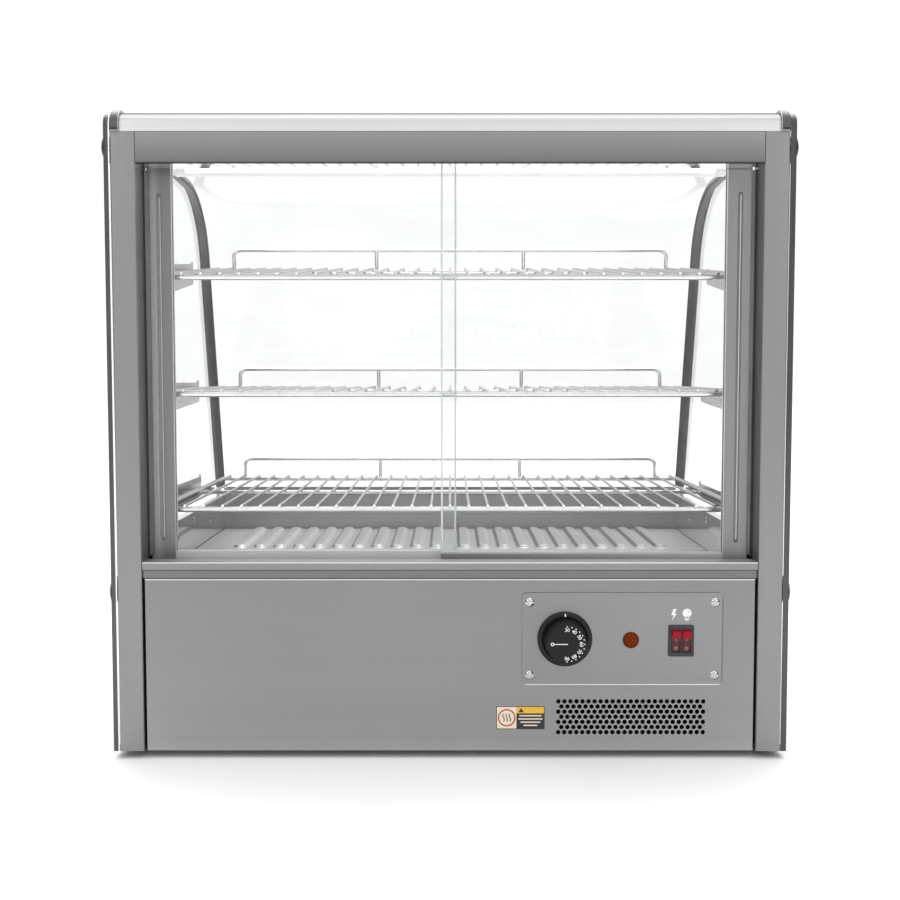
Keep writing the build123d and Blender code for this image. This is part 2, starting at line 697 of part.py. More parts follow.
def heating_element():
    """Tubular element in three hairpins under the well, ending at the staff side."""
    x, z = HEATER_HALF, HEATER_Z
    near, far = HEATER_Y
    points = [(-x, near, z), (-x, far, z), (-x / 3, far, z), (-x / 3, near, z), (x / 3, near, z),
              (x / 3, far, z),
              (x, far, z), (x, near, z)]
    return bent_rod(points, HEATER_BEND, HEATER_R)


def element_brackets():
    """Two cross bars that hang the element under the well floor."""
    bars = []
    top = HEATER_Z - HEATER_R - PASS
    for middle in HANGER_SPOTS:
        y = (middle - HANGER_W / 2, middle + HANGER_W / 2)
        bar = block((-HANGER_HALF, HANGER_HALF), y, (top - HANGER_SHEET, top))
        for side in SIDES.values():
            x = sorted((side * (HANGER_HALF - HANGER_SHEET), side * HANGER_HALF))
            bar += block(x, y, (top - HANGER_SHEET, WELL_FLOOR - WELL_SHEET))
        bars.append(bar)
    return bars


def terminal_block():
    """Row of screw terminals on the bottom sheet."""
    top = BASE_SHEET + TERMINAL_H
    body = block(TERMINAL_X, TERMINAL_Y, (BASE_SHEET, top))
    pitch = (TERMINAL_X[1] - TERMINAL_X[0]) / TERMINAL_POLES
    for count in range(TERMINAL_POLES):
        body -= Pos(TERMINAL_X[0] + pitch * (count + 0.5), sum(TERMINAL_Y) / 2, top) * Cylinder(4, 8)
    return body


def lamp_tube():
    y, z = LAMP_AT
    cap = LAMP_HALF - LAMP_CAP_LONG
    glass = side_rod(-cap, cap, y, z, LAMP_R)
    for side in SIDES.values():
        glass += side_rod(side * cap, side * LAMP_HALF, y, z, LAMP_R + 0.3)
    return glass


def lamp_holders():
    y, z = LAMP_AT
    half = LAMP_R + 1
    holder = block((LAMP_HALF + PASS, LAMP_HALF + PASS + LAMP_HOLDER_T), (y - half, y + half),
                   (z - half, POST_TOP - SOFFIT_SHEET - 0.1))
    return both_sides(fillet(holder.edges().filter_by(Axis.X).group_by(Axis.Z)[0], 6))


def cable_gland():
    """Flange, hexagon, threaded neck and dome nut on the customer wall, with a through bore."""
    x, z = GLAND_AT
    flange = [(0, BASE_BACK), (GLAND_NUT_R, BASE_BACK), (GLAND_NUT_R, BASE_BACK + 2), (0, BASE_BACK + 2)]
    neck = [(0, BASE_BACK - 8), (GLAND_THREAD_R, BASE_BACK - 8), (GLAND_THREAD_R, BASE_BACK),
            (0, BASE_BACK)]
    nut = [(0, BASE_BACK + 9), (10.4, BASE_BACK + 9), (10.4, BASE_BACK + 19), (7, DEPTH_BEHIND),
           (0, DEPTH_BEHIND)]
    hexagon = inward(Pos(x, z) * RegularPolygon(GLAND_NUT_R, 6), BASE_BACK + 2, BASE_BACK + 9)
    gland = turned(flange, GLAND_AT) + turned(neck, GLAND_AT) + turned(nut, GLAND_AT) + hexagon
    locknut = inward(Pos(x, z) * RegularPolygon(GLAND_NUT_R, 6), BASE_BACK - 7, BASE_BACK - BASE_SHEET)
    locknut -= turned([(0, 0), (GLAND_THREAD_R, 0), (GLAND_THREAD_R, 500), (0, 500)], GLAND_AT)
    bore = turned([(0, 400), (GLAND_BORE_R, 400), (GLAND_BORE_R, 500), (0, 500)], GLAND_AT)
    return gland + locknut - bore


def feet():
    """Rubber feet, each with a stem through the bottom."""
    pieces = []
    for x, y in FOOT_SPOTS:
        pad = Pos(0, 0, -FOOT_H / 2) * Cone(FOOT_R - 2, FOOT_R, FOOT_H)
        stem = Pos(0, 0, FOOT_STEM_LONG / 2) * Cylinder(FOOT_STEM_R, FOOT_STEM_LONG)
        pieces += both_sides(Pos(x, y, 0) * (pad + stem))
    return pieces


# Well

def well_liner():
    """Recessed tray with a rim that lies on the base shell."""
    start = SILL_END + 0.2
    outer = block((-WELL_HALF, WELL_HALF), (start, WELL_BACK), (WELL_FLOOR - WELL_SHEET, WELL_RIM))
    inner = block((-WELL_HALF + WELL_SHEET, WELL_HALF - WELL_SHEET),
                  (start + WELL_SHEET, WELL_BACK - WELL_SHEET),
                  (WELL_FLOOR, WELL_RIM + 1))
    rim = block((-BASE_HALF, BASE_HALF), (start, BASE_BACK), (WELL_RIM - WELL_SHEET, WELL_RIM))
    rim -= block((-WELL_HALF, WELL_HALF), (start - 1, WELL_BACK), (WELL_RIM - 3, WELL_RIM + 1))
    tray = outer - inner + rim
    tray -= block((-WELL_HALF - 1, WELL_HALF + 1), (start - 1, start + WELL_SHEET),
                  (SILL_BACK_TOP, WELL_RIM + 1))
    for side in SIDES.values():
        for y, z in WELL_SCREWS:
            tray -= side_rod(side * (WELL_HALF + 1), side * (WELL_HALF - 3), y, z, 1.7 + PASS)
    return tray


def well_screws():
    pieces = []
    screw = pan_screw(4.2, 2.0, 1.7, 6)
    for side in SIDES.values():
        for y, z in WELL_SCREWS:
            pieces.append(Pos(side * (WELL_HALF - WELL_SHEET), y, z) * Rot(0, -side * 90, 0) * screw)
    return pieces


def deck_plate():
    """Floor plate with a row of pressed ribs that run front to back."""
    half = WELL_HALF - WELL_SHEET - 1
    top = WELL_FLOOR + DECK_T
    plate = block((-half, half), (SILL_END + 2.5, WELL_BACK - 2), (WELL_FLOOR, top))
    rib = extrude(Rot(0, 0, 90) * SlotOverall(RIB_END - RIB_START, RIB_W), amount=RIB_H, taper=35)
    for count in range(RIBS_PER_SIDE):
        x = RIB_FIRST + count * RIB_PITCH
        for side in SIDES.values():
            plate += Pos(side * x, (RIB_START + RIB_END) / 2, top) * rib
    return plate


# Shelves

def upright(side):
    """Slotted channel behind the post."""
    x = sorted((side * UPRIGHT_IN, side * (POST_OUT - 0.5)))
    z = (BASE_RIM - 2, HEADER_BOTTOM + 25)
    channel = block(x, (UPRIGHT_START, UPRIGHT_FACE), z)
    channel -= block((x[0] + UPRIGHT_SHEET, x[1] - UPRIGHT_SHEET),
                     (UPRIGHT_START - 1, UPRIGHT_FACE - UPRIGHT_SHEET),
                     (z[0] - 1, z[1] + 1))
    slot = Rot(0, 0, 90) * SlotOverall(SLOT_H, WEB_T + 1.2)
    slots = Sketch() + [Pos(side * WEB_X, SLOT_FIRST + k * SLOT_PITCH) * slot for k in range(SLOT_COUNT)]
    return channel - inward(slots, UPRIGHT_FACE - 3, UPRIGHT_FACE + 1)


def shelf_bracket(side, height, end, tilt, upstand):
    """Cantilever bracket: an upright web, a flange under the shelf and two hooks in the slots."""
    rise = tan(radians(tilt))
    start = UPRIGHT_FACE + 0.1
    run = rise * (end - SHELF_START)
    web = Polygon((start, height - WEB_ROOT), (start, height + upstand + 2),
                  (end - 7, height + upstand + run),
                  (end - 5, height + upstand + run + 3), (end, height + upstand + run + 2),
                  (end, height + run - 15), align=None)
    web = fillet(web.vertices().group_by(Axis.X)[-1].sort_by(Axis.Y)[0], 5)
    x0, x1 = sorted((side * (WEB_X - WEB_T / 2), side * (WEB_X + WEB_T / 2)))
    piece = across(web, x0, x1)
    seat = height - FRAME_WIRE / 2 / cos(radians(tilt)) - SHELF_GAP
    near, far = SHELF_START - 1, end - 12
    flange = Polygon((near, seat - rise), (far, seat + rise * (far - SHELF_START)),
                     (far, seat + rise * (far - SHELF_START) - WEB_T), (near,
                                                                        seat - rise - WEB_T), align=None)
    f0, f1 = sorted((side * FLANGE_IN, side * WEB_X))
    piece += across(flange, f0, f1)
    for count in range(2):
        z = height - 26 + count * SLOT_PITCH
        hook = Polygon((start, z + 4), (UPRIGHT_FACE - 5, z + 4), (UPRIGHT_FACE - 5, z - 6),
                       (UPRIGHT_FACE - 2, z - 6), (UPRIGHT_FACE - 2, z - 3), (start, z - 3), align=None)
        piece += across(hook, x0, x1)
    return piece


def wire_shelf(height, far, tilt):
    """Welded wire shelf: frame, mid wire, cross wires and a guard rail on the customer edge."""
    deep = (far - SHELF_START) / cos(radians(tilt))
    r = FRAME_WIRE / 2
    loop = (Pos(0, deep / 2) * RectangleRounded(2 * SHELF_HALF - 2 * r, deep - 2 * r, 8)).wire()
    frame = sweep(Plane(origin=loop @ 0, z_dir=loop % 0) * Circle(r), path=loop)
    mid = side_rod(-SHELF_HALF + r, SHELF_HALF - r, deep / 2, 0, r - 0.5)
    lift = r + MAT_WIRE / 2 - WELD_DEPTH
    wires = []
    for count in range(-MAT_WIRES_PER_SIDE, MAT_WIRES_PER_SIDE + 1):
        wires.append(Pos(count * MAT_PITCH, deep / 2, lift) * Rot(90, 0, 0) * Cylinder(MAT_WIRE / 2,
                                                                                       deep - 1))
    edge = deep - r
    rail = bent_rod([(-RAIL_HALF, edge, 0), (-RAIL_HALF, edge, RAIL_H), (RAIL_HALF, edge, RAIL_H),
                     (RAIL_HALF, edge, 0)], RAIL_R, RAIL_WIRE / 2)
    posts = [Pos(s * RAIL_POST_X, edge, RAIL_H / 2) * Cylinder(RAIL_WIRE / 2,
                                                               RAIL_H) for s in SIDES.values()]
    shelf = Part() + [frame, mid, rail, *posts, *wires]
    return Pos(0, SHELF_START, height) * Rot(tilt, 0, 0) * shelf


def main():
    os.makedirs("parts", exist_ok=True)

    glass = curved_glass()
    save("curved_glass", glass)
    for name, side in SIDES.items():
        save(f"side_glass_{name}", side_glass(side))
        save(f"gasket_{name}", gasket(side, glass))
        save(f"post_{name}", post(side))
        save(f"end_cap_{name}", end_cap(side))
        save(f"upright_{name}", upright(side))
        for level, (height, far, end, tilt) in SHELVES.items():
            save(f"bracket_{level}_{name}", shelf_bracket(side, height, end, tilt, UPSTANDS[name]))
    save("glass_fixings", Compound(children=glass_fixings()))
    save("top_glass_clamp", top_glass_clamp())
    save("bottom_glass_ledge", bottom_glass_ledge())
    save("header", header())
    save("top_cover", top_cover())
    save("soffit", soffit())
    save("sill_track", sill())
    save("door_seals", Compound(children=door_seals()))

    for name, (outer, inner, track) in DOORS.items():
        pane = door_glass(outer, inner, track)
        save(f"{name}_door_glass", pane)
        save(f"{name}_door_handle", door_handle(outer, track, pane))
        save(f"{name}_door_bottom_rail", door_rail(outer, inner, track, pane, (DOOR_BOTTOM, DOOR_RAIL_TOP)))
        save(f"{name}_door_top_rail",
             door_rail(outer, inner, track, pane, (DOOR_TOP - TOP_RAIL_H, DOOR_TOP)))

    save("base_shell", base_shell())
    save("base_panel", base_panel())
    save("control_plate", control_plate())
    save("control_plate_screws", Compound(children=control_plate_screws()))
    save("thermostat_bezel", thermostat_bezel())
    save("thermostat_dial", thermostat_dial())
    save("dial_shaft", dial_shaft())
    save("thermostat_body", thermostat_body())
    save("capillary_tube", capillary_tube())
    save("indicator_lens", indicator_lens())
    save("indicator_body", indicator_body())
    save("switch_housing", switch_housing())
    save("rocker_heat", rocker(SIDES["left"]))
    save("rocker_light", rocker(SIDES["right"]))
    save("heating_element", heating_element())
    save("element_brackets", Compound(children=element_brackets()))
    save("terminal_block", terminal_block())
    save("lamp_tube", lamp_tube())
    save("lamp_holders", Compound(children=lamp_holders()))
    save("cable_gland", cable_gland())
    save("feet", Compound(children=feet()))
    save("well_liner", well_liner())
    save("well_screws", Compound(children=well_screws()))
    save("deck_plate", deck_plate())

    for level, (height, far, _, tilt) in SHELVES.items():
        save(f"shelf_{level}", wire_shelf(height, far, tilt))


main()
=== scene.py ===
import json
import math

import bmesh
import bpy
from mathutils import Matrix, Vector

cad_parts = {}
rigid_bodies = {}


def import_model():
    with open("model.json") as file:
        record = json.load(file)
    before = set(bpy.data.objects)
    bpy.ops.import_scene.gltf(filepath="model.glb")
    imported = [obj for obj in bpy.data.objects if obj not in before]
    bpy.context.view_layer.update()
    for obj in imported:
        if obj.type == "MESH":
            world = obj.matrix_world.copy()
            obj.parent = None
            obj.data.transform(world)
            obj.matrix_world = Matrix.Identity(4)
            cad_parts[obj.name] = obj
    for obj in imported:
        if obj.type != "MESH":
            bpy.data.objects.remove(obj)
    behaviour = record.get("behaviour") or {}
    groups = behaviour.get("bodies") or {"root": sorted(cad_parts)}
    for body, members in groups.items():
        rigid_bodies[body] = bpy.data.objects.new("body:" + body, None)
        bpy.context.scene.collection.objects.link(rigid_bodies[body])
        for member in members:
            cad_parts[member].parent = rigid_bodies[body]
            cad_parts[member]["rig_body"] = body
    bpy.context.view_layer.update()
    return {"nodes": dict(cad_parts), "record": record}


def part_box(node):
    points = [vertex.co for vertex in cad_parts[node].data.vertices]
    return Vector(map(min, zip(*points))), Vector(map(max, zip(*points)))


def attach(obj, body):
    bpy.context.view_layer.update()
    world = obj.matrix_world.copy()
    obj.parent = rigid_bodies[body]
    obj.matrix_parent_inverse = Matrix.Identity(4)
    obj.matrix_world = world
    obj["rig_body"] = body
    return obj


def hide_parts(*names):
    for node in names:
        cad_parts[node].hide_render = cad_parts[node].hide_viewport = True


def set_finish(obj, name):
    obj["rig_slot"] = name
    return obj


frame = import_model()

MM = 0.001
BODY_OF = {node: body for body, nodes in frame["record"]["behaviour"]["bodies"].items() for node in nodes}
SLOT_OF = {part["node"]: part["material_slot"] for part in frame["record"]["subparts"]}

# The staff face of the posts and the case's bottom edge, which the places below are measured from
STAFF_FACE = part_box("post_left")[0][1]
CASE_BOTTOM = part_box("post_left")[0][2]


def at(x, depth, height):
    """A point from its X, its depth behind the staff face and its height in the case, in mm."""
    return Vector((x * MM, STAFF_FACE + depth * MM, CASE_BOTTOM + height * MM))


# Material helpers

# Sockets of a colour mix node
MIX_FACTOR, MIX_FIRST, MIX_SECOND, MIX_RESULT = 0, 6, 7, 2


class Shade:
    """A node material under construction: short calls for the nodes that it uses."""

    def __init__(self, name):
        self.material = bpy.data.materials.new(name)
        self.material.use_nodes = True
        self.tree = self.material.node_tree
        self.surface = self.tree.nodes["Principled BSDF"]
        self.output = self.tree.nodes["Material Output"]
        self.coords = self.add("ShaderNodeTexCoord").outputs["Object"]

    def add(self, kind, **settings):
        node = self.tree.nodes.new(kind)
        for key, value in settings.items():
            setattr(node, key, value)
        return node

    def link(self, source, target):
        self.tree.links.new(source, target)

    def set(self, **values):
        """Constant values of the surface's sockets, with an underscore for each space in a name."""
        for key, value in values.items():
            self.surface.inputs[key.replace("_", " ")].default_value = value

    def stretched(self, scale, turn=(0, 0, 0)):
        """The piece's own coordinates, scaled and turned."""
        mapping = self.add("ShaderNodeMapping")
        mapping.inputs["Scale"].default_value = scale
        mapping.inputs["Rotation"].default_value = turn
        self.link(self.coords, mapping.inputs["Vector"])
        return mapping.outputs["Vector"]

    def noise(self, scale, detail=3, vector=None, rough=0.5):
        """Soft noise on the piece's own coordinates, or on the given ones."""
        node = self.add("ShaderNodeTexNoise")
        node.inputs["Scale"].default_value = scale
        node.inputs["Detail"].default_value = detail
        node.inputs["Roughness"].default_value = rough
        self.link(vector if vector is not None else self.coords, node.inputs["Vector"])
        return node.outputs["Fac"]

    def span(self, source, low, high, source_low=0.3, source_high=0.7):
        """A value moved from its own range to the range from low to high."""
        node = self.add("ShaderNodeMapRange")
        limits = {"From Min": source_low, "From Max": source_high, "To Min": low, "To Max": high}
        for key, value in limits.items():
            node.inputs[key].default_value = value
        self.link(source, node.inputs["Value"])
        return node.outputs["Result"]

    def axis(self, name, coords=None):
        """One axis of the piece's own coordinates, or of the given ones."""
        split = self.add("ShaderNodeSeparateXYZ")
        self.link(coords if coords is not None else self.coords, split.inputs[0])
        return split.outputs[name]

    def blend(self, factor, first, second):
        """Two colours, mixed by a value."""
        node = self.add("ShaderNodeMix", data_type="RGBA")
        self.link(factor, node.inputs[MIX_FACTOR])
        node.inputs[MIX_FIRST].default_value = (*first, 1)
        node.inputs[MIX_SECOND].default_value = (*second, 1)
        return node.outputs[MIX_RESULT]

    def faded(self, color, factor):
        """A colour output times a value output."""
        node = self.add("ShaderNodeMix", data_type="RGBA", blend_type="MULTIPLY")
        node.inputs[MIX_FACTOR].default_value = 1.0
        self.link(color, node.inputs[MIX_FIRST])
        self.link(factor, node.inputs[MIX_SECOND])
        return node.outputs[MIX_RESULT]

    def combine(self, first, second, operation="ADD"):
        """Two values added, or combined by another operation."""
        node = self.add("ShaderNodeMath", operation=operation)
        self.link(first, node.inputs[0])
        self.link(second, node.inputs[1])
        return node.outputs[0]

    def along(self, axis, *stops):
        """A tone that follows an axis: each stop is a place in metres and the tone there."""
        start, end = stops[0][0], stops[-1][0]
        place = self.span(self.axis(axis), 0.0, 1.0, start, end)
        ramp = self.add("ShaderNodeValToRGB")
        elements = ramp.color_ramp.elements
        while len(elements) < len(stops):
            elements.new(1.0)
        brightest = max(tone for _, tone in stops)
        for element, (where, tone) in zip(elements, stops):
            element.position = (where - start) / (end - start)
            element.color = (*grey(tone / brightest), 1)
        self.link(place, ramp.inputs[0])
        scale = self.add("ShaderNodeMix", data_type="RGBA", blend_type="MULTIPLY")
        scale.inputs[MIX_FACTOR].default_value = 1.0
        self.link(ramp.outputs[0], scale.inputs[MIX_FIRST])
        scale.inputs[MIX_SECOND].default_value = (*grey(brightest), 1)
        return scale.outputs[MIX_RESULT]

    def bump(self, height, strength, distance):
        """Relief from a height value."""
        node = self.add("ShaderNodeBump")
        node.inputs["Strength"].default_value = strength
        node.inputs["Distance"].default_value = distance
        self.link(height, node.inputs["Height"])
        self.link(node.outputs["Normal"], self.surface.inputs["Normal"])


def grey(level):
    return (level, level, level)


def tinted(color, factor):
    return tuple(min(1.0, channel * factor) for channel in color)


def brushed_steel(name, color, rough, grain, contrast=0.05, fades=(), metal=1.0, rib_side_shade=0.0, rim=1.0):
    """Satin sheet steel: fine scratches along one axis, broad streaks and faint handling marks.

    Each fade holds an axis and the stops of a tone that follows it: painted light and shade.
    rib_side_shade is how much lighter and darker the two sides of a pressed rib are painted, as painted
    light and shade. rim tints the reflection at a grazing angle.
    """
    shade = Shade(name)
    long_axis = "XYZ".index(grain)
    fine_scale = [2600, 2600, 2600]
    fine_scale[long_axis] = 18
    broad_scale = [160, 160, 160]
    broad_scale[long_axis] = 3
    fine = shade.noise(1, 4, shade.stretched(fine_scale), 0.65)
    broad = shade.noise(1, 3, shade.stretched(broad_scale))
    marks = shade.noise(7, 4)
    streaks = shade.combine(shade.span(broad, 0.0, 0.65), shade.span(fine, 0.0, 0.35))
    tone = shade.blend(streaks, tinted(color, 1 - contrast), tinted(color, 1 + contrast))
    # Painted light and shade along each fade's axis.
    for fade in fades:
        tone = shade.faded(tone, shade.along(*fade))
    # Rib sides painted lighter and darker by the way they face: painted light and shade.
    if rib_side_shade:
        sideways = shade.axis("X", shade.add("ShaderNodeNewGeometry").outputs["Normal"])
        tone = shade.faded(tone, shade.span(sideways, 1 - rib_side_shade, 1 + rib_side_shade, -0.6, 0.6))
    shade.link(tone, shade.surface.inputs["Base Color"])
    scratched = shade.span(fine, rough - 0.03, rough + 0.03)
    roughness = shade.combine(scratched, shade.span(marks, -0.02, 0.03))
    shade.link(roughness, shade.surface.inputs["Roughness"])
    shade.set(Metallic=metal)
    shade.set(Specular_Tint=(*grey(rim), 1))
    shade.bump(fine, 0.05, 0.0001)
    return shade.material


def bright_metal(name, color, rough, speck=0.03, edge=1.0):
    """Plated or drawn metal with a faint orange-peel and slight roughness changes.

    edge is the share of its reflectance that is left where the surface turns away: painted shade at the
    outline.
    """
    shade = Shade(name)
    cloud = shade.noise(38, 3)
    peel = shade.noise(900, 2)
    tone = shade.blend(shade.span(cloud, 0, 1), tinted(color, 0.95), tinted(color, 1.04))
    # Painted shade: the tone falls away towards the outline.
    if edge < 1:
        facing = shade.add("ShaderNodeLayerWeight").outputs["Facing"]
        tone = shade.faded(tone, shade.span(facing, 1.0, edge, 0.25, 0.8))
    shade.link(tone, shade.surface.inputs["Base Color"])
    shade.link(shade.span(cloud, rough, rough + speck), shade.surface.inputs["Roughness"])
    shade.set(Metallic=1.0)
    shade.bump(peel, 0.05, 0.0001)
    return shade.material


def moulded(name, color, rough, grain=1400, depth=0.25, coat=0.0, fade=None, gloss=0.5, glow=0.0):
    """Moulded plastic or rubber: fine grain, a little dust in the lows and uneven gloss."""
    shade = Shade(name)
    skin = shade.noise(grain, 3)
    cloud = shade.noise(24, 4)
    tone = shade.blend(shade.span(cloud, 0, 1), tinted(color, 0.86), tinted(color, 1.22))
    # Painted light and shade along the fade's axis.
    if fade:
        tone = shade.faded(tone, shade.along(*fade))
    shade.link(tone, shade.surface.inputs["Base Color"])
    shade.link(shade.span(cloud, rough - 0.05, rough + 0.07), shade.surface.inputs["Roughness"])
    # glow: the tube is a lit lamp; on the lamp holders it is painted light.
    shade.set(Coat_Weight=coat, Coat_Roughness=0.12, Specular_IOR_Level=gloss, Emission_Strength=glow)
    shade.bump(skin, depth, 0.0002)
    return shade.material


def pane_glass(name, tint):
    """Flat or bent pane: clear to sight, mirrored by Fresnel where light enters, with faint wipe marks."""
    shade = Shade(name)
    shade.tree.nodes.remove(shade.surface)
    wipes = shade.noise(1, 4, shade.stretched((9, 9, 34), (0.5, 0.3, 0.2)))
    clear = shade.add("ShaderNodeBsdfTransparent")
    shade.link(shade.blend(shade.span(wipes, 0, 1), tinted(tint, 0.985), tint), clear.inputs["Color"])
    gloss = shade.add("ShaderNodeBsdfGlossy")
    gloss.inputs["Color"].default_value = (0.95, 0.97, 0.97, 1)
    shade.link(shade.span(wipes, 0.0, 0.09), gloss.inputs["Roughness"])
    fresnel = shade.add("ShaderNodeFresnel")
    fresnel.inputs["IOR"].default_value = 1.45
    outside = shade.add("ShaderNodeMath", operation="SUBTRACT")
    outside.inputs[0].default_value = 1.0
    shade.link(shade.add("ShaderNodeNewGeometry").outputs["Backfacing"], outside.inputs[1])
    mix = shade.add("ShaderNodeMixShader")
    shade.link(shade.combine(fresnel.outputs[0], outside.outputs[0], "MULTIPLY"), mix.inputs[0])
    shade.link(clear.outputs[0], mix.inputs[1])
    shade.link(gloss.outputs[0], mix.inputs[2])
    shade.link(mix.outputs[0], shade.output.inputs["Surface"])
    return shade.material


def glass_edge(name, dark, light, rim=None):
    """Ground and polished edge of a pane, seen end on: deep, with lighter streaks along it.

    rim is the distance from the middle of the case, in metres, inside which the edge's arris gets a painted
    highlight.
    """
    shade = Shade(name)
    streaks = shade.noise(1, 3, shade.stretched((900, 30, 14)))
    tone = shade.blend(shade.span(streaks, 0, 1), dark, light)
    # Painted highlight along the arris.
    if rim:
        away = shade.add("ShaderNodeMath", operation="ABSOLUTE")
        shade.link(shade.axis("X"), away.inputs[0])
        shining = shade.span(away.outputs[0], 1.0, 0.0, rim - 0.0003, rim + 0.0003)
        mix = shade.add("ShaderNodeMix", data_type="RGBA")
        shade.link(shining, mix.inputs[MIX_FACTOR])
        shade.link(tone, mix.inputs[MIX_FIRST])
        mix.inputs[MIX_SECOND].default_value = (0.95, 0.96, 0.96, 1)
        tone = mix.outputs[MIX_RESULT]
    shade.link(tone, shade.surface.inputs["Base Color"])
    shade.link(shade.span(streaks, 0.12, 0.3), shade.surface.inputs["Roughness"])
    shade.set(Coat_Weight=0.6, Coat_Roughness=0.08)
    return shade.material


def lens(name, color, deep, fade=None):
    """Translucent moulded lens with fine facets under its skin. fade holds the places of deep and color:
    painted shade below, painted light above.
    """
    shade = Shade(name)
    facets = shade.add("ShaderNodeTexVoronoi")
    facets.inputs["Scale"].default_value = 900
    shade.link(shade.coords, facets.inputs["Vector"])
    if fade:
        tone = shade.blend(shade.along("Z", (fade[0], 0.0), (fade[1], 1.0)), deep, color)
        tone = shade.faded(tone, shade.span(facets.outputs["Distance"], 0.8, 1.1, 0, 0.8))
    else:
        tone = shade.blend(shade.span(facets.outputs["Distance"], 0, 1, 0, 0.8), deep, color)
    shade.link(tone, shade.surface.inputs["Base Color"])
    cloud = shade.noise(60, 2)
    shade.link(shade.span(cloud, 0.22, 0.32), shade.surface.inputs["Roughness"])
    shade.set(Specular_IOR_Level=0.06)
    return shade.material


def ink(name, color):
    """Screen-printed ink with a slightly uneven edge to its gloss."""
    shade = Shade(name)
    cloud = shade.noise(700, 3)
    tone = shade.blend(shade.span(cloud, 0, 1), tinted(color, 0.93), color)
    shade.link(tone, shade.surface.inputs["Base Color"])
    shade.link(shade.span(cloud, 0.4, 0.55), shade.surface.inputs["Roughness"])
    return shade.material


# Heights, sides and depths at which the painted light and shade on a piece change

TOP_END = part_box("header")[1][2]
HEADER_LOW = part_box("header")[0][2]
COVER_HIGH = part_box("top_cover")[1][2]
PANEL_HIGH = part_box("base_panel")[1][2]
PLATE_LOW, PLATE_HIGH = (corner[2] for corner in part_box("control_plate"))
PLATE_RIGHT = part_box("control_plate")[1][0]
SILL_LOW, SILL_BREAK, SILL_HIGH = (at(0, 0, height)[2] for height in (175.7, 184.0, 192.4))
RAIL_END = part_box("right_door_bottom_rail")[1][0]
RIGHT_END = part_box("right_door_handle")[1][0]
LEFT_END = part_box("left_door_handle")[0][0]
DECK_NEAR, DECK_FAR = (corner[1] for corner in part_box("deck_plate"))
CAP_LOW, CAP_HIGH = (corner[2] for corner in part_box("end_cap_left"))
KEY_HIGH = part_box("rocker_heat")[1][2]
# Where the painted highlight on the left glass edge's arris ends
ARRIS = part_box("side_glass_right")[0][0] + 0.0012
# Heights between which the gaskets' painted light rises
RUBBER_DARK, RUBBER_LIGHT = (at(0, 0, height)[2] for height in (470, 600))
HAIR = 0.0002

# Materials

steel_across = brushed_steel("steel_brushed_across", grey(0.27), 0.42, "X", 0.02)
# Painted light: the panel is lighter towards its bottom, with a painted highlight along its top edge.
steel_panel = brushed_steel("steel_panel", grey(0.29), 0.42, "X", 0.015,
                            (("Z", (CASE_BOTTOM, 1.35), (CASE_BOTTOM + 0.011, 1.14),
                              (CASE_BOTTOM + 0.04, 0.98), (CASE_BOTTOM + 0.093, 0.9),
                              (PANEL_HIGH - 0.0012, 0.85), (PANEL_HIGH - 0.001, 2.4), (PANEL_HIGH, 2.4)),))
# Painted shade: the posts are darker low down, against the light that the floor throws on them.
steel_upright = brushed_steel("steel_brushed_upright", grey(0.30), 0.42, "Z", 0.02,
                              (("Z", (CASE_BOTTOM, 0.92), (CASE_BOTTOM + 0.1, 0.885),
                                (CASE_BOTTOM + 0.35, 0.92), (TOP_END, 1.01)),))
# Painted shade: the header darkens towards its lower edge, with painted dark lines along its bottom and top
# edges.
steel_header = brushed_steel("steel_header", grey(0.305), 0.42, "X", 0.015,
                             (("Z", (HEADER_LOW, 0.2), (HEADER_LOW + 0.001, 0.22),
                               (HEADER_LOW + 0.0016, 0.62),
                               (HEADER_LOW + 0.013, 0.82), (TOP_END - 0.0012, 1.04), (TOP_END, 0.5)),))
# Painted highlight along the plate's bottom edge, painted shade along its right edge, and slightly darker
# on the left.
steel_plate = brushed_steel("steel_control_plate", grey(0.268), 0.42, "X", 0.015,
                            (("Z", (PLATE_LOW, 2.6), (PLATE_LOW + 0.0008, 2.6), (PLATE_LOW + 0.001, 1.0),
                              (PLATE_HIGH, 1.0)),
                             ("X", (0.07, 0.95), (0.2, 1.0), (PLATE_RIGHT - 0.0009, 1.0),
                              (PLATE_RIGHT - 0.0007, 0.35), (PLATE_RIGHT, 0.35))))
# Painted reflection: the cover's nose is lighter below and darker towards its top, with a painted light
# band about 22 mm behind the staff face and darker further back.
steel_cover = brushed_steel("steel_cover", grey(0.74), 0.36, "X", 0.015,
                            (("Z", (TOP_END, 1.03), (TOP_END + 0.008, 0.98), (TOP_END + 0.011, 0.84),
                              (TOP_END + 0.014, 0.55), (TOP_END + 0.017, 0.27), (COVER_HIGH, 0.13)),
                             ("Y", (STAFF_FACE, 1.0), (STAFF_FACE + 0.013, 1.0), (STAFF_FACE + 0.022, 2.4),
                              (STAFF_FACE + 0.1, 1.0), (STAFF_FACE + 0.2, 0.7))), rim=0.45)
# Painted light and shade: the sill's lower band is darker, with a painted dark line at its break and a
# painted highlight along its top edge.
steel_sill = brushed_steel("steel_sill", grey(0.25), 0.36, "X", 0.05,
                           (("Z", (SILL_LOW, 0.72), (SILL_BREAK - HAIR, 0.72), (SILL_BREAK, 0.4),
                             (SILL_BREAK + 0.0008, 0.4), (SILL_BREAK + 0.001, 1.0),
                             (SILL_HIGH - 0.0011, 1.0),
                             (SILL_HIGH - 0.0009, 2.8), (SILL_HIGH, 2.8)),))
# The sill's top faces take a lighter copy of its steel: painted light.
steel_sill_top = brushed_steel("steel_sill_top", grey(0.36), 0.36, "X", 0.05, metal=0.5)
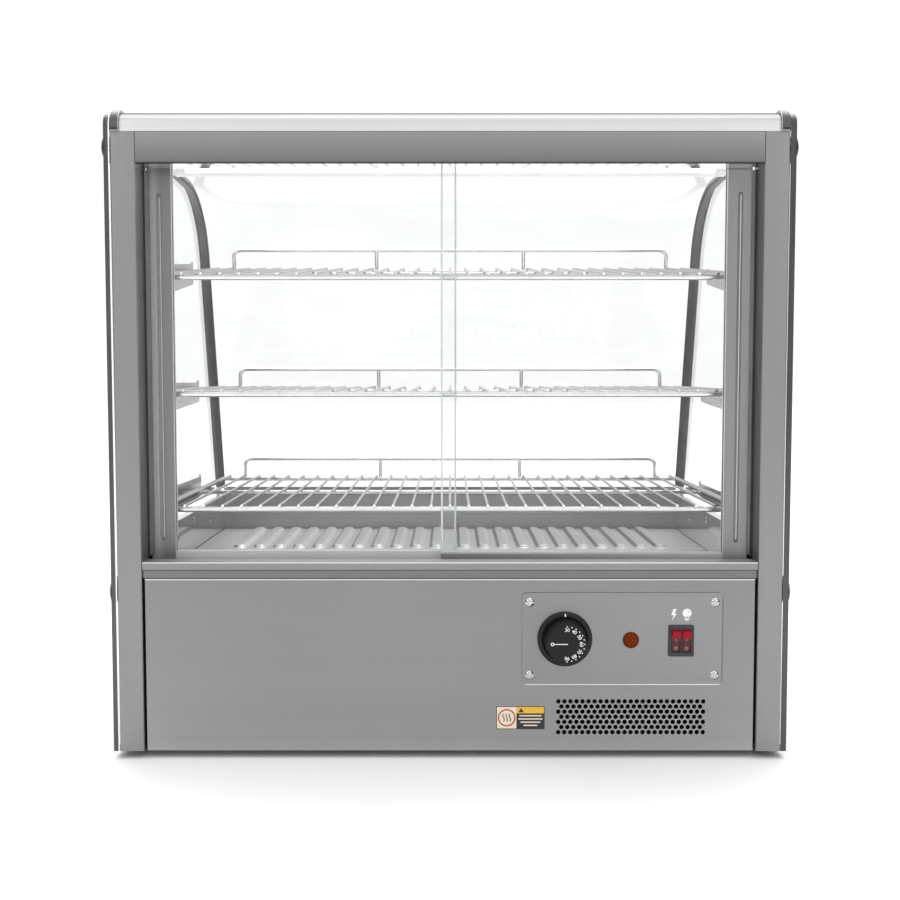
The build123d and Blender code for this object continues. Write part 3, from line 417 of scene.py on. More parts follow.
# The header's underside takes a near-white copy of the steel: painted reflection, with a painted dark strip
# along its front 4 mm.
steel_polished = brushed_steel("steel_polished", grey(0.95), 0.08, "X", 0.01,
                               (("Y", (STAFF_FACE, 0.1), (STAFF_FACE + 0.004, 0.1),
                                 (STAFF_FACE + 0.005, 1.0),
                                 (STAFF_FACE + 0.2, 1.0)),))
steel_side = brushed_steel("steel_brushed_side", grey(0.27), 0.42, "Y", 0.02)
# The soffit and the top glass clamp are painted near white: painted reflection of the bright studio.
steel_pale = brushed_steel("steel_pale", grey(0.92), 0.5, "X", 0.02, metal=0.2)
# Painted shade: the deck is darker along its far end, and its rib sides are painted lighter and darker.
steel_deep = brushed_steel("steel_brushed_depth", grey(0.54), 0.34, "Y", 0.05,
                           (("Y", (DECK_NEAR, 1.0), (DECK_FAR - 0.011, 1.0), (DECK_FAR - 0.009, 0.45),
                             (DECK_FAR, 0.45)),), 0.5, 0.6)
steel_bracket = brushed_steel("steel_bracket", grey(0.36), 0.24, "Y", 0.08)
# The well liner's floor and walls are lighter and darker copies of one steel: painted light and shade.
steel_well = brushed_steel("steel_well", grey(0.7), 0.08, "X", 0.05)
steel_well_wall = brushed_steel("steel_well_wall", grey(0.42), 0.38, "X", 0.08)
# Painted light: the right handle is lighter towards the post, against the post's shade.
steel_profile = brushed_steel("steel_door_profile", grey(0.25), 0.4, "Z", 0.06,
                              (("X", (0.28, 1.0), (0.293, 1.12), (0.3, 1.4), (RIGHT_END, 1.6)),), 0.3)
# Painted light: the left handle is lighter towards the post, against the post's shade.
steel_profile_rear = brushed_steel("steel_door_profile_rear", grey(0.235), 0.4, "Z", 0.06,
                                   (("X", (LEFT_END, 2.0), (-0.303, 1.9), (-0.3, 1.45), (-0.296, 1.05),
                                     (-0.285, 1.0)),), 0.3)
# A lighter copy of the profile steel for the lips, the rail tops and the groove strip: painted highlight.
steel_lip = brushed_steel("steel_profile_lip", grey(0.7), 0.35, "Z", 0.04, metal=0.3)
# The recessed rails are painted light, against the shade they stand in.
steel_rail = brushed_steel("steel_door_rail", grey(0.7), 0.34, "X", 0.04, metal=0.3)
# Painted light: the right bottom rail is darker towards the middle and lighter towards its end.
steel_rail_front = brushed_steel("steel_door_rail_front", grey(0.37), 0.34, "X", 0.04,
                                 (("X", (0.0, 0.6), (RAIL_END * 0.6, 1.0), (RAIL_END, 1.2)),), 0.3)
# chrome_cap, chrome_dome, chrome_wire and screw_steel are painted darker towards their outlines: painted
# shade.
chrome_cap = bright_metal("chrome_cap", grey(0.78), 0.1, edge=0.3)
chrome_dome = bright_metal("chrome_dome", grey(0.7), 0.12, edge=0.25)
chrome_wire = bright_metal("chrome_wire", grey(0.8), 0.12, 0.06, 0.36)
screw_steel = bright_metal("screw_steel", grey(0.55), 0.12, 0.08, 0.15)
zinc = bright_metal("zinc_plate", (0.66, 0.67, 0.68), 0.3, 0.12)
copper = bright_metal("copper_tube", (0.72, 0.42, 0.28), 0.25, 0.1)
heater_metal = bright_metal("heater_sheath", (0.25, 0.23, 0.21), 0.42, 0.15)
# Painted light: the gaskets are darker low down and lighter towards the top.
rubber = moulded("rubber_black", grey(0.2), 0.5, 1100, 0.3,
                 fade=("Z", (RUBBER_DARK, 0.22), (RUBBER_LIGHT, 0.7)))
rubber_foot = moulded("rubber_foot", (0.03, 0.03, 0.03), 0.62, 800, 0.4)
seal_grey = moulded("seal_dark_grey", (0.03, 0.03, 0.032), 0.55, 900, 0.3)
# The seals' sides and the right seal's lip take this lighter copy of the seal rubber: painted light.
seal_pale = moulded("seal_grey", (0.17, 0.17, 0.17), 0.55, 900, 0.3)
black_satin = moulded("plastic_black_satin", (0.007, 0.007, 0.007), 0.4, 2600, 0.12, gloss=0.3)
black_face = moulded("plastic_black_face", (0.009, 0.009, 0.009), 0.5, 2600, 0.08, gloss=0.24)
black_housing = moulded("plastic_black_housing", (0.02, 0.02, 0.02), 0.45, 2600, 0.1)
# Painted light and shade: the inlay is darker along its bottom 3 mm, with a painted light band above it.
cap_dark = moulded("cap_dark_inlay", (0.045, 0.045, 0.045), 0.3, 1500, 0.1, 0.3,
                   ("Z", (CAP_LOW, 0.25), (CAP_LOW + 0.003, 0.3), (CAP_LOW + 0.0035, 1.7),
                    (CAP_LOW + 0.012, 1.5), (CAP_HIGH, 1.1)))
plastic_white = moulded("plastic_white", (0.78, 0.77, 0.74), 0.42, 1200, 0.15)
# The lamp holders glow: painted light.
holder_white = moulded("lamp_holder_white", (0.85, 0.85, 0.83), 0.42, 1200, 0.15, glow=0.4)
lamp_white = moulded("lamp_frosted", (0.88, 0.88, 0.86), 0.3, 1500, 0.06, 0.4, glow=1.0)
clear_glass = pane_glass("glass_clear", (0.996, 1.0, 0.998))
# edge_dark carries a painted highlight on its arris.
edge_dark = glass_edge("glass_edge_dark", (0.018, 0.02, 0.02), (0.06, 0.062, 0.062), ARRIS)
edge_deep = glass_edge("glass_edge_deep", (0.014, 0.015, 0.015), (0.04, 0.042, 0.042))
edge_light = glass_edge("glass_edge_light", (0.5, 0.53, 0.52), (0.72, 0.75, 0.74))
amber = lens("lens_amber", (0.17, 0.028, 0.0015), (0.07, 0.010, 0.0008))
# Painted shade: the keys' lower halves are darker than their upper halves.
red_key = lens("key_red", (0.38, 0.01, 0.024), (0.1, 0.038, 0.04), (KEY_HIGH - 0.0105, KEY_HIGH - 0.005))
ink_white = ink("ink_white", (0.86, 0.86, 0.86))
ink_pale = ink("ink_pale_red", (0.5, 0.24, 0.24))
ink_black = ink("ink_black", (0.02, 0.02, 0.02))
ink_yellow = ink("ink_yellow", (0.84, 0.45, 0.03))
ink_cream = ink("ink_cream", (0.82, 0.72, 0.56))
ink_red = ink("ink_red", (0.55, 0.03, 0.03))

NODE_MATERIALS = {
    "post_left": steel_upright, "post_right": steel_upright, "header": steel_header,
    "top_cover": steel_cover,
    "base_panel": steel_panel, "sill_track": steel_sill, "base_shell": steel_across, "soffit": steel_pale,
    "control_plate": steel_plate, "well_liner": steel_well, "deck_plate": steel_deep,
    "upright_left": steel_upright, "upright_right": steel_upright, "bottom_glass_ledge": steel_across,
    "top_glass_clamp": steel_pale, "element_brackets": steel_across, "end_cap_left": chrome_cap,
    "end_cap_right": chrome_cap, "glass_fixings": chrome_dome, "control_plate_screws": screw_steel,
    "well_screws": screw_steel, "gasket_left": rubber, "gasket_right": rubber, "door_seals": seal_grey,
    "feet": rubber_foot, "thermostat_bezel": black_satin, "thermostat_dial": black_satin,
    "switch_housing": black_housing, "cable_gland": black_satin, "indicator_body": black_satin,
    "indicator_lens": amber, "rocker_heat": red_key, "rocker_light": red_key, "thermostat_body": zinc,
    "dial_shaft": zinc, "capillary_tube": copper, "heating_element": heater_metal,
    "terminal_block": plastic_white, "lamp_holders": holder_white, "lamp_tube": lamp_white,
    "side_glass_left": clear_glass, "side_glass_right": clear_glass, "curved_glass": clear_glass,
    "left_door_glass": clear_glass, "right_door_glass": clear_glass,
    "shelf_bottom": chrome_wire, "shelf_middle": chrome_wire, "shelf_top": chrome_wire,
}
for level in ("bottom", "middle", "top"):
    for side in ("left", "right"):
        NODE_MATERIALS[f"bracket_{level}_{side}"] = steel_bracket
for side, rail_steel, profile_steel in (("left", steel_rail, steel_profile_rear),
                                        ("right", steel_rail_front, steel_profile)):
    NODE_MATERIALS[f"{side}_door_handle"] = profile_steel
    NODE_MATERIALS[f"{side}_door_bottom_rail"] = rail_steel
    NODE_MATERIALS[f"{side}_door_top_rail"] = steel_rail
for node, material in NODE_MATERIALS.items():
    for used in frame["nodes"][node].material_slots:
        used.material = material


# Mesh helpers

def new_piece(name, mesh, body, slot_name, *materials):
    piece = bpy.data.objects.new(name, mesh)
    bpy.context.scene.collection.objects.link(piece)
    mesh.materials.clear()
    for material in materials:
        mesh.materials.append(material)
    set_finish(piece, slot_name)
    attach(piece, body)
    return piece


def smooth(mesh, angle):
    """Smooth shading, broken where faces meet at more than the angle in degrees."""
    for face in mesh.polygons:
        face.use_smooth = True
    mesh.set_sharp_from_angle(angle=math.radians(angle))


def closed_loop(work, first, second):
    """Faces that join two rows of vertices all the way round."""
    for i in range(len(first)):
        j = (i + 1) % len(first)
        work.faces.new((first[i], first[j], second[j], second[i]))


def mesh_of(work, name):
    """The finished work as a mesh, with its faces turned outward."""
    bmesh.ops.recalc_face_normals(work, faces=work.faces)
    mesh = bpy.data.meshes.new(name)
    work.to_mesh(mesh)
    work.free()
    return mesh


def refined(node, width=0.5, segments=2, angle=32):
    """A copy of a CAD node's mesh with rounded edges, which stands for the node. width is in mm."""
    mesh = frame["nodes"][node].data.copy()
    mesh.name = f"{node}_visual"
    piece = new_piece(f"{node}_visual", mesh, BODY_OF[node], SLOT_OF[node], NODE_MATERIALS[node])
    work = bmesh.new()
    work.from_mesh(mesh)
    bmesh.ops.remove_doubles(work, verts=work.verts, dist=2e-6)
    bmesh.ops.dissolve_limit(work, angle_limit=math.radians(0.6), verts=work.verts, edges=work.edges)
    work.to_mesh(mesh)
    work.free()
    if "custom_normal" in mesh.attributes:
        mesh.attributes.remove(mesh.attributes["custom_normal"])
    for face in mesh.polygons:
        face.material_index = 0
    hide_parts(node)
    smooth(mesh, angle)
    bevel = piece.modifiers.new("bevel", "BEVEL")
    bevel.width = width * MM
    bevel.segments = segments
    bevel.limit_method = "ANGLE"
    bevel.angle_limit = math.radians(angle)
    bevel.harden_normals = True
    bevel.use_clamp_overlap = True
    return piece


def second_material(piece, material, chosen):
    """The faces whose normals are chosen, in another material."""
    piece.data.materials.append(material)
    for face in piece.data.polygons:
        face.material_index = int(chosen(face.normal))


def prism(name, outline, x0, x1, body, slot_name, material):
    """An outline of (depth, height) points, run from x0 to x1."""
    work = bmesh.new()
    near = [work.verts.new(at(x0, *point)) for point in outline]
    far = [work.verts.new(at(x1, *point)) for point in outline]
    work.faces.new(near)
    work.faces.new(far[::-1])
    closed_loop(work, near, far)
    return new_piece(name, mesh_of(work, name), body, slot_name, material)


def decal(name, outlines, depth, body, slot_name, material, thick=0.06):
    """Flat marks on a staff-side face: (x, height) outlines, standing a hair proud of the face at depth."""
    work = bmesh.new()
    for outline in outlines:
        back = [work.verts.new(at(x, depth + 0.01, z)) for x, z in outline]
        front = [work.verts.new(at(x, depth - thick, z)) for x, z in outline]
        work.faces.new(front)
        work.faces.new(back[::-1])
        closed_loop(work, back, front)
    return new_piece(name, mesh_of(work, name), body, slot_name, material)


def ring_outlines(cx, cz, outer, inner, parts=24):
    """A ring cut into quads, because an outline can't hold a hole."""
    quads = []
    for i in range(parts):
        a, b = (2 * math.pi * k / parts for k in (i, i + 1))
        quads.append([(cx + r * math.cos(t), cz + r * math.sin(t)) for r, t in
                      ((outer, a), (outer, b), (inner, b), (inner, a))])
    return quads


def arc(cx, cz, radius, degrees):
    """Points of a circle at the given angles."""
    return [(cx + radius * math.cos(math.radians(a)),
             cz + radius * math.sin(math.radians(a))) for a in degrees]


def disc(cx, cz, radius, parts=24):
    turns = [2 * math.pi * i / parts for i in range(parts)]
    return [(cx + radius * math.cos(t), cz + radius * math.sin(t)) for t in turns]


def rectangle(x0, x1, z0, z1):
    return [(x0, z0), (x1, z0), (x1, z1), (x0, z1)]


def lathe(name, profile, axis_point, axis, body, slot_name, material, segments=64, angle=30):
    """A turned piece: (radius, distance along the axis) points about an axis through axis_point."""
    work = bmesh.new()
    spine = Vector(axis)
    across = Vector((0, 0, 1)) if abs(spine.z) < 0.5 else Vector((1, 0, 0))
    other = spine.cross(across)
    rings = []
    for radius, along in profile:
        centre = axis_point + spine * along * MM
        if radius < 1e-6:
            rings.append([work.verts.new(centre)])
            continue
        turns = [2 * math.pi * i / segments for i in range(segments)]
        rings.append([work.verts.new(centre + (across * math.cos(t) + other * math.sin(t)) * radius * MM)
                      for t in turns])
    for first, second in zip(rings, rings[1:]):
        for i in range(segments):
            j = (i + 1) % segments
            corners = [first[i % len(first)], first[j % len(first)]]
            corners += [second[j % len(second)], second[i % len(second)]]
            corners = list(dict.fromkeys(corners))
            if len(corners) > 2:
                work.faces.new(corners)
    mesh = mesh_of(work, name)
    smooth(mesh, angle)
    return new_piece(name, mesh, body, slot_name, material)


def joined(name, pieces):
    """Several mesh pieces of one body made into one, with the first piece's body, slot and material."""
    first = pieces[0]
    work = bmesh.new()
    for piece in pieces:
        work.from_mesh(piece.data)
    mesh = bpy.data.meshes.new(name)
    work.to_mesh(mesh)
    work.free()
    mesh.materials.append(first.data.materials[0])
    body, slot_name = first["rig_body"], first["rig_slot"]
    for piece in pieces:
        bpy.data.objects.remove(piece)
    return new_piece(name, mesh, body, slot_name, mesh.materials[0])


# Frame, top and base: the CAD shapes with rounded sheet edges

EDGE_WIDTHS = {
    "post_left": 0.4, "post_right": 0.4, "header": 0.35, "top_cover": 0.3, "sill_track": 0.45,
    "base_shell": 0.4, "control_plate": 0.35, "soffit": 0.3, "bottom_glass_ledge": 0.3,
    "top_glass_clamp": 0.3, "well_liner": 0.35, "upright_left": 0.3, "upright_right": 0.3, "feet": 1.0,
    "door_seals": 0.4, "gasket_left": 0.8, "gasket_right": 0.8, "lamp_holders": 0.6, "base_panel": 0.3,
}
# Second materials by face direction. Painted light and shade: the header's underside, the seals' sides, the
# sill's top and the well's walls. The base's sides only turn the grain.
SECOND_MATERIALS = {
    "header": (steel_polished, lambda normal: normal.z < -0.9),
    "base_shell": (steel_side, lambda normal: abs(normal.x) > 0.5),
    "door_seals": (seal_pale, lambda normal: abs(normal.x) > 0.7),
    "sill_track": (steel_sill_top, lambda normal: normal.z > 0.9),
    "well_liner": (steel_well_wall, lambda normal: abs(normal.y) > 0.5),
}
for node, width in EDGE_WIDTHS.items():
    piece = refined(node, width)
    if node in SECOND_MATERIALS:
        second_material(piece, *SECOND_MATERIALS[node])
for level in ("bottom", "middle", "top"):
    for side in ("left", "right"):
        refined(f"bracket_{level}_{side}", 0.35)


# Doors and glasses

def door_frame(side, inward):
    """Handle profile and rails. The lips that face the pane and the rail's top edge take a lighter copy of
    the steel: painted highlight.
    """
    handle = refined(f"{side}_door_handle", 0.45, 3)
    second_material(handle, steel_lip, lambda normal: normal.x * inward > 0.7)
    rail = refined(f"{side}_door_bottom_rail", 0.5)
    second_material(rail, steel_lip, lambda normal: normal.z > 0.9)
    refined(f"{side}_door_top_rail", 0.5)


def seal_lip():
    """The soft lip of the right seal, which closes the gap beside the handle."""
    near, far = 25.6, 27.2
    low, high = 196, 586
    outline = [(near, low), (far, low), (far, high), (near, high)]
    # Painted light: the lip takes the lighter seal copy.
    prism("seal_lip_right", outline, 304.6, 307.4, "cabinet", SLOT_OF["door_seals"], seal_pale)


def door_pane(side, toward):
    """Door pane whose bare upright edge is ground round, which shows as a light line."""
    node = f"{side}_door_glass"
    low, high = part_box(node)
    half = (high[1] - low[1]) / 2
    middle = (high[1] + low[1]) / 2
    bare, held = (high[0], low[0]) if toward > 0 else (low[0], high[0])
    outline = [(held, middle - half)]
    turns = 8
    for step in range(turns + 1):
        turn = math.pi * step / turns - math.pi / 2
        outline.append((bare - toward * (half - half * math.cos(turn)), middle + half * math.sin(turn)))
    outline.append((held, middle + half))
    work = bmesh.new()
    bottom = [work.verts.new((x, y, low[2])) for x, y in outline]
    top = [work.verts.new((x, y, high[2])) for x, y in outline]
    work.faces.new(bottom)
    work.faces.new(top[::-1])
    closed_loop(work, bottom, top)
    mesh = mesh_of(work, f"{node}_visual")
    piece = new_piece(f"{node}_visual", mesh, BODY_OF[node], SLOT_OF[node], clear_glass, edge_light)
    for face in mesh.polygons:
        face.material_index = 0 if abs(face.normal.y) > 0.995 else 1
    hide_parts(node)


def groove_highlight(side):
    """Painted highlight: a light strip along the lip of the finger groove, the length of the groove."""
    low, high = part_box(f"{side}_door_handle")
    shift, half_width = 0.9, 0.4
    foot, head = 211, 562
    x = (low[0] + high[0]) / 2 / MM + shift
    line = rectangle(x - half_width, x + half_width, foot, head)
    decal(f"{side}_groove_highlight", [line], (low[1] - STAFF_FACE) / MM, f"{side}_door", "door_profile",
          steel_lip)


for side, inward in (("left", 1), ("right", -1)):
    door_frame(side, inward)
seal_lip()
for node, edge_material in (("side_glass_left", edge_dark), ("side_glass_right", edge_deep)):
    second_material(refined(node, 0.7), edge_material, lambda normal: abs(normal.x) < 0.5)
for side, toward in (("left", 1), ("right", -1)):
    door_pane(side, toward)


# End caps: a dark inlay wraps the chrome cap's nose and top

def cap_inlay(side_name, sign):
    low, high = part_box(f"end_cap_{side_name}")
    front = (low[1] - STAFF_FACE) / MM
    top = (high[2] - CASE_BOTTOM) / MM
    seat = (low[2] - CASE_BOTTOM) / MM
    inner, outer = sorted((abs(low[0]) / MM, abs(high[0]) / MM))
    x0, x1 = sign * (inner + 0.3), sign * (outer - 1.0)
    nose_r, proud, thick = 15.6, 0.05, 0.6
    steps = 12
    sweep = math.radians(75)
    points = [(front - proud, seat + thick)]
    for step in range(steps + 1):
        turn = sweep * step / steps
        points.append((front + nose_r - (nose_r + proud) * math.cos(turn),
                       top - nose_r + (nose_r + proud) * math.sin(turn)))
    inside = [(depth + thick, height - thick) for depth, height in reversed(points)]
    prism(f"end_cap_inlay_{side_name}", points + inside, x0, x1, "cabinet", "black_plastic", cap_dark)


for side_name, sign in (("left", -1), ("right", 1)):
    cap_inlay(side_name, sign)


# Glass fixings: smooth chrome domes over the CAD's screws

FIXING_PLACES = [(12.5, 162.0), (12.5, 604.0), (400.0, 100.0)]


def glass_fixings():
    radius, proud = 14.5, 5.0
    neck, seat = 3.0, -11.0
    steps = 14
    ball = (radius ** 2 + proud ** 2) / (2 * proud)
    arc_half = math.asin(radius / ball)
    turns = [arc_half * k / steps for k in range(steps + 1)]
    profile = [(ball * math.sin(turn), proud - ball + ball * math.cos(turn)) for turn in turns]
    profile += [(radius, 0.0), (neck, 0.0), (neck, seat), (0.0, seat)]
    glass_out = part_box("side_glass_right")[1][0] / MM
    domes = []
    for sign in (-1, 1):
        for index, (depth, height) in enumerate(FIXING_PLACES):
            centre = at(sign * glass_out, depth, height)
            domes.append(lathe(f"fixing_{sign}_{index}", profile, centre, (sign, 0, 0), "cabinet",
                               "bright_chrome", chrome_dome))
    whole = joined("glass_fixings_visual", domes)
    smooth(whole.data, 30)
    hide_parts("glass_fixings")


glass_fixings()


# Ribbed floor plate, pressed in one sheet

RIBS_PER_SIDE, RIB_FIRST, RIB_PITCH, RIB_HEIGHT = 11, 18.0, 25.1, 3.6
RIB_FLAT, RIB_FOOT = 5.0, 8.4
RIB_NEAR, RIB_FAR = 270.0, 428.0
DECK_COLUMNS, DECK_END_ROWS, DECK_FINE_STEP = 560, 9, 1.2


def rib_height(x, depth):
    """Height of the pressed ribs above the plate at a point: flat tops with short rounded sides."""
    nearest = RIB_FIRST + RIB_PITCH * min(max(round((abs(x) - RIB_FIRST) / RIB_PITCH), 0),
                                          RIBS_PER_SIDE - 1)
    sideways = abs(abs(x) - nearest)
    lengthways = max(RIB_NEAR + RIB_FOOT - depth, depth - RIB_FAR + RIB_FOOT, 0)
    away = min(max((math.hypot(sideways, lengthways) - RIB_FLAT) / (RIB_FOOT - RIB_FLAT), 0), 1)
    return RIB_HEIGHT * (0.5 + 0.5 * math.cos(math.pi * away))


def deck_plate():
    low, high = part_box("deck_plate")
    x_end = high[0] / MM
    near, far = (low[1] - STAFF_FACE) / MM, (high[1] - STAFF_FACE) / MM
    under = (low[2] - CASE_BOTTOM) / MM
    top = (high[2] - CASE_BOTTOM) / MM - RIB_HEIGHT
    depths = [near, RIB_NEAR - 2]
    depths += [RIB_NEAR + DECK_FINE_STEP * k for k in range(DECK_END_ROWS)]
    depths += [RIB_FAR - DECK_FINE_STEP * k for k in reversed(range(DECK_END_ROWS))]
    depths += [far]
    work = bmesh.new()
    grid = []
    for depth in depths:
        line = []
        for column in range(DECK_COLUMNS + 1):
            x = -x_end + 2 * x_end * column / DECK_COLUMNS
            line.append(work.verts.new(at(x, depth, top + rib_height(x, depth))))
        grid.append(line)
    for row, next_row in zip(grid, grid[1:]):
        for column in range(DECK_COLUMNS):
            work.faces.new((row[column], row[column + 1], next_row[column + 1], next_row[column]))
    rim = grid[0] + [line[-1] for line in grid[1:]] + grid[-1][-2::-1] + [line[0] for line in grid[-2:0:-1]]
    base = [work.verts.new(Vector((v.co.x, v.co.y, CASE_BOTTOM + under * MM))) for v in rim]
    for i in range(len(rim)):
        j = (i + 1) % len(rim)
        work.faces.new((rim[j], rim[i], base[i], base[j]))
    work.faces.new(base)
    mesh = mesh_of(work, "deck_plate_visual")
    smooth(mesh, 60)
    piece = new_piece("deck_plate_visual", mesh, "cabinet", "well_steel", steel_deep)
    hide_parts("deck_plate")


deck_plate()


# Control panel

PLATE_FACE = (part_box("control_plate")[0][1] - STAFF_FACE) / MM
BEZEL_LOW, BEZEL_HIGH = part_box("thermostat_bezel")
DIAL_X = (BEZEL_LOW[0] + BEZEL_HIGH[0]) / 2 / MM
DIAL_Z = ((BEZEL_LOW[2] + BEZEL_HIGH[2]) / 2 - CASE_BOTTOM) / MM
DIAL_FACE = (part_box("thermostat_dial")[0][1] - STAFF_FACE) / MM
BEZEL_FACE = (BEZEL_LOW[1] - STAFF_FACE) / MM
HOUSING_LOW, HOUSING_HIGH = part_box("switch_housing")
KEY_PIVOT_Z = ((HOUSING_LOW[2] + HOUSING_HIGH[2]) / 2 - CASE_BOTTOM) / MM


def thermostat():
    """Bezel and dial as turned plastic mouldings. The dial is sunk by the height of its printing."""
    centre = at(DIAL_X, PLATE_FACE, DIAL_Z)
    bezel = [(7.0, 0.0), (27.5, 0.0), (27.5, 2.2), (27.2, 3.0), (26.4, 3.7), (25.2, 4.0), (23.2, 4.0),
             (22.6, 3.8), (22.2, 3.2), (21.6, 1.6), (7.0, 1.6), (7.0, 0.0)]
    ring = lathe("thermostat_bezel_visual", bezel, centre, (0, -1, 0), "cabinet", "black_plastic",
                 black_satin, 96)
    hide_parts("thermostat_bezel")
    printing = 0.1
    tall = PLATE_FACE - DIAL_FACE - printing
    dial = [(0.0, 2.4), (20.0, 2.4), (20.8, 2.8), (21.0, 3.6), (20.4, tall - 1.7), (20.0, tall - 0.8),
            (19.3, tall - 0.25), (18.4, tall), (0.0, tall)]
    knob = lathe("thermostat_dial_visual", dial, centre, (0, -1, 0), "dial", "black_plastic",
                 black_face, 96, 50)
    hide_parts("thermostat_dial")


def text_piece(name, words, size, centre, turn, depth, body, slot_name, material):
    """Numerals as a thin printed mesh, turned clockwise about their own centre."""
    curve = bpy.data.curves.new(name, "FONT")
    curve.body = words
    curve.size = size * MM
    curve.align_x = "CENTER"
    curve.align_y = "CENTER"
    curve.extrude = 0.03 * MM
    curve.offset = 0.05 * MM
    curve.resolution_u = 4
    carrier = bpy.data.objects.new(name + "_curve", curve)
    bpy.context.scene.collection.objects.link(carrier)
    bpy.context.view_layer.update()
    mesh = bpy.data.meshes.new_from_object(carrier.evaluated_get(bpy.context.evaluated_depsgraph_get()))
    bpy.data.objects.remove(carrier)
    mesh.transform(Matrix.Rotation(-turn, 4, "Z"))
    mesh.transform(Matrix.Rotation(math.pi / 2, 4, "X"))
    mesh.transform(Matrix.Translation(at(centre[0], depth, centre[1])))
    mesh.name = name
    return new_piece(name, mesh, body, slot_name, material)


def dial_marks():
    """Numbers from 30 to 90 over half a turn, a dot at every half step, and the off pointer."""
    face = DIAL_FACE + 0.06
    printed = DIAL_FACE + 0.08
    dot_circle, dot_radius = 17.4, 0.62
    dots = []
    for step in range(13):
        turn = math.radians(15 * step)
        x, z = DIAL_X + dot_circle * math.sin(turn), DIAL_Z + dot_circle * math.cos(turn)
        dots.append(disc(x, z, dot_radius, 14))
    decal("dial_dots", dots, printed, "dial", "black_plastic", ink_white)
    number_circle, number_height = 14.0, 4.9
    for step in range(7):
        turn = math.radians(30 * step)
        centre = (DIAL_X + number_circle * math.sin(turn), DIAL_Z + number_circle * math.cos(turn))
        text_piece(f"dial_number_{30 + 10 * step}", str(30 + 10 * step), number_height, centre, turn, face,
                   "dial", "black_plastic", ink_white)
    pointer = [rectangle(DIAL_X - 12.9, DIAL_X + 0.8, DIAL_Z - 0.42, DIAL_Z + 0.42)]
    pointer += ring_outlines(DIAL_X - 14.4, DIAL_Z, 1.75, 0.95, 28)
    decal("dial_pointer", pointer, printed, "dial", "black_plastic", ink_white)
    tick = [rectangle(DIAL_X - 0.75, DIAL_X + 0.75, DIAL_Z + 23.3, DIAL_Z + 26.2)]
    decal("bezel_index", tick, BEZEL_FACE, "cabinet", "black_plastic", ink_white)


def key_face_depth(z_offset):
    """Depth of a key's staff face at a height above its pivot, on its two sloping halves."""
    tilt = math.radians(12)
    pivot_depth, crest = 0.2, 1.2
    rise, half_length = 1.4, 10.8
    local = -crest - rise / half_length * abs(z_offset)
    return pivot_depth + local * math.cos(tilt) - z_offset * math.sin(tilt)


def key_marks(node, body, x):
    """A bar near the middle of the lower half and a ring near its end, laid on the sloping face."""
    z = KEY_PIVOT_Z
    proud, rooted = 0.12, 0.1
    outlines = [rectangle(x - 0.28, x + 0.28, z - 0.2, z + 2.6)]
    outlines += ring_outlines(x, z - 7.4, 1.75, 1.15, 20)
    work = bmesh.new()
    for outline in outlines:
        front = [work.verts.new(at(px, key_face_depth(pz - z) - proud, pz)) for px, pz in outline]
        back = [work.verts.new(at(px, key_face_depth(pz - z) + rooted, pz)) for px, pz in outline]
        work.faces.new(front)
        work.faces.new(back[::-1])
        closed_loop(work, back, front)
    new_piece(f"{node}_marks", mesh_of(work, f"{node}_marks"), body, "red_key", ink_pale)


def switch_keys():
    """Rocker keys with rounded edges, each with its marks."""
    for node, body in (("rocker_heat", "heat_rocker"), ("rocker_light", "light_rocker")):
        refined(node, 0.35, 3)
        low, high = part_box(node)
        key_marks(node, body, (low[0] + high[0]) / 2 / MM)


def panel_icons():
    """A lightning bolt over the heat key and a bulb over the lamp key."""
    slot_name = "control_panel_steel"
    bolt = [(2.6, 5.6), (-0.6, 5.6), (-2.9, -0.6), (-0.4, -0.6), (-1.9, -5.9), (2.6, 0.9), (0.4, 0.9)]
    bolt_x, bolt_z = 225.2, 139.6
    decal("icon_bolt", [[(bolt_x + px, bolt_z + pz) for px, pz in bolt]], PLATE_FACE, "cabinet", slot_name,
          ink_white)
    x, z = 238.3, 141.0
    shapes = [disc(x, z, 4.5, 32)]
    for half_width, low, high in ((2.4, -5.4, -3.6), (2.3, -6.6, -5.8), (1.4, -7.6, -6.9)):
        shapes.append(rectangle(x - half_width, x + half_width, z + low, z + high))
    decal("icon_bulb", shapes, PLATE_FACE, "cabinet", slot_name, ink_white)
    glint = arc(x, z, 2.9, range(15, 76, 10)) + arc(x, z, 2.2, range(75, 14, -10))
    decal("icon_bulb_glint", [glint], PLATE_FACE - 0.03, "cabinet", slot_name, steel_plate)


def indicator():
    """Domed lamp lens with a thin flange."""
    low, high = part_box("indicator_lens")
    x = (low[0] + high[0]) / 2 / MM
    z = ((low[2] + high[2]) / 2 - CASE_BOTTOM) / MM
    profile = [(6.0, -6.2), (6.0, 0.0), (8.3, 0.0), (8.3, 0.5), (8.0, 0.9), (7.3, 1.1), (7.0, 1.6)]
    profile += [(6.9 * math.cos(t),
                 1.7 + 1.7 * math.sin(t)) for t in (math.pi / 2 * k / 9 for k in range(10))]
    piece = lathe("indicator_lens_visual", profile, at(x, PLATE_FACE, z), (0, -1, 0), "cabinet",
                  "amber_lens", amber)
    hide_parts("indicator_lens")


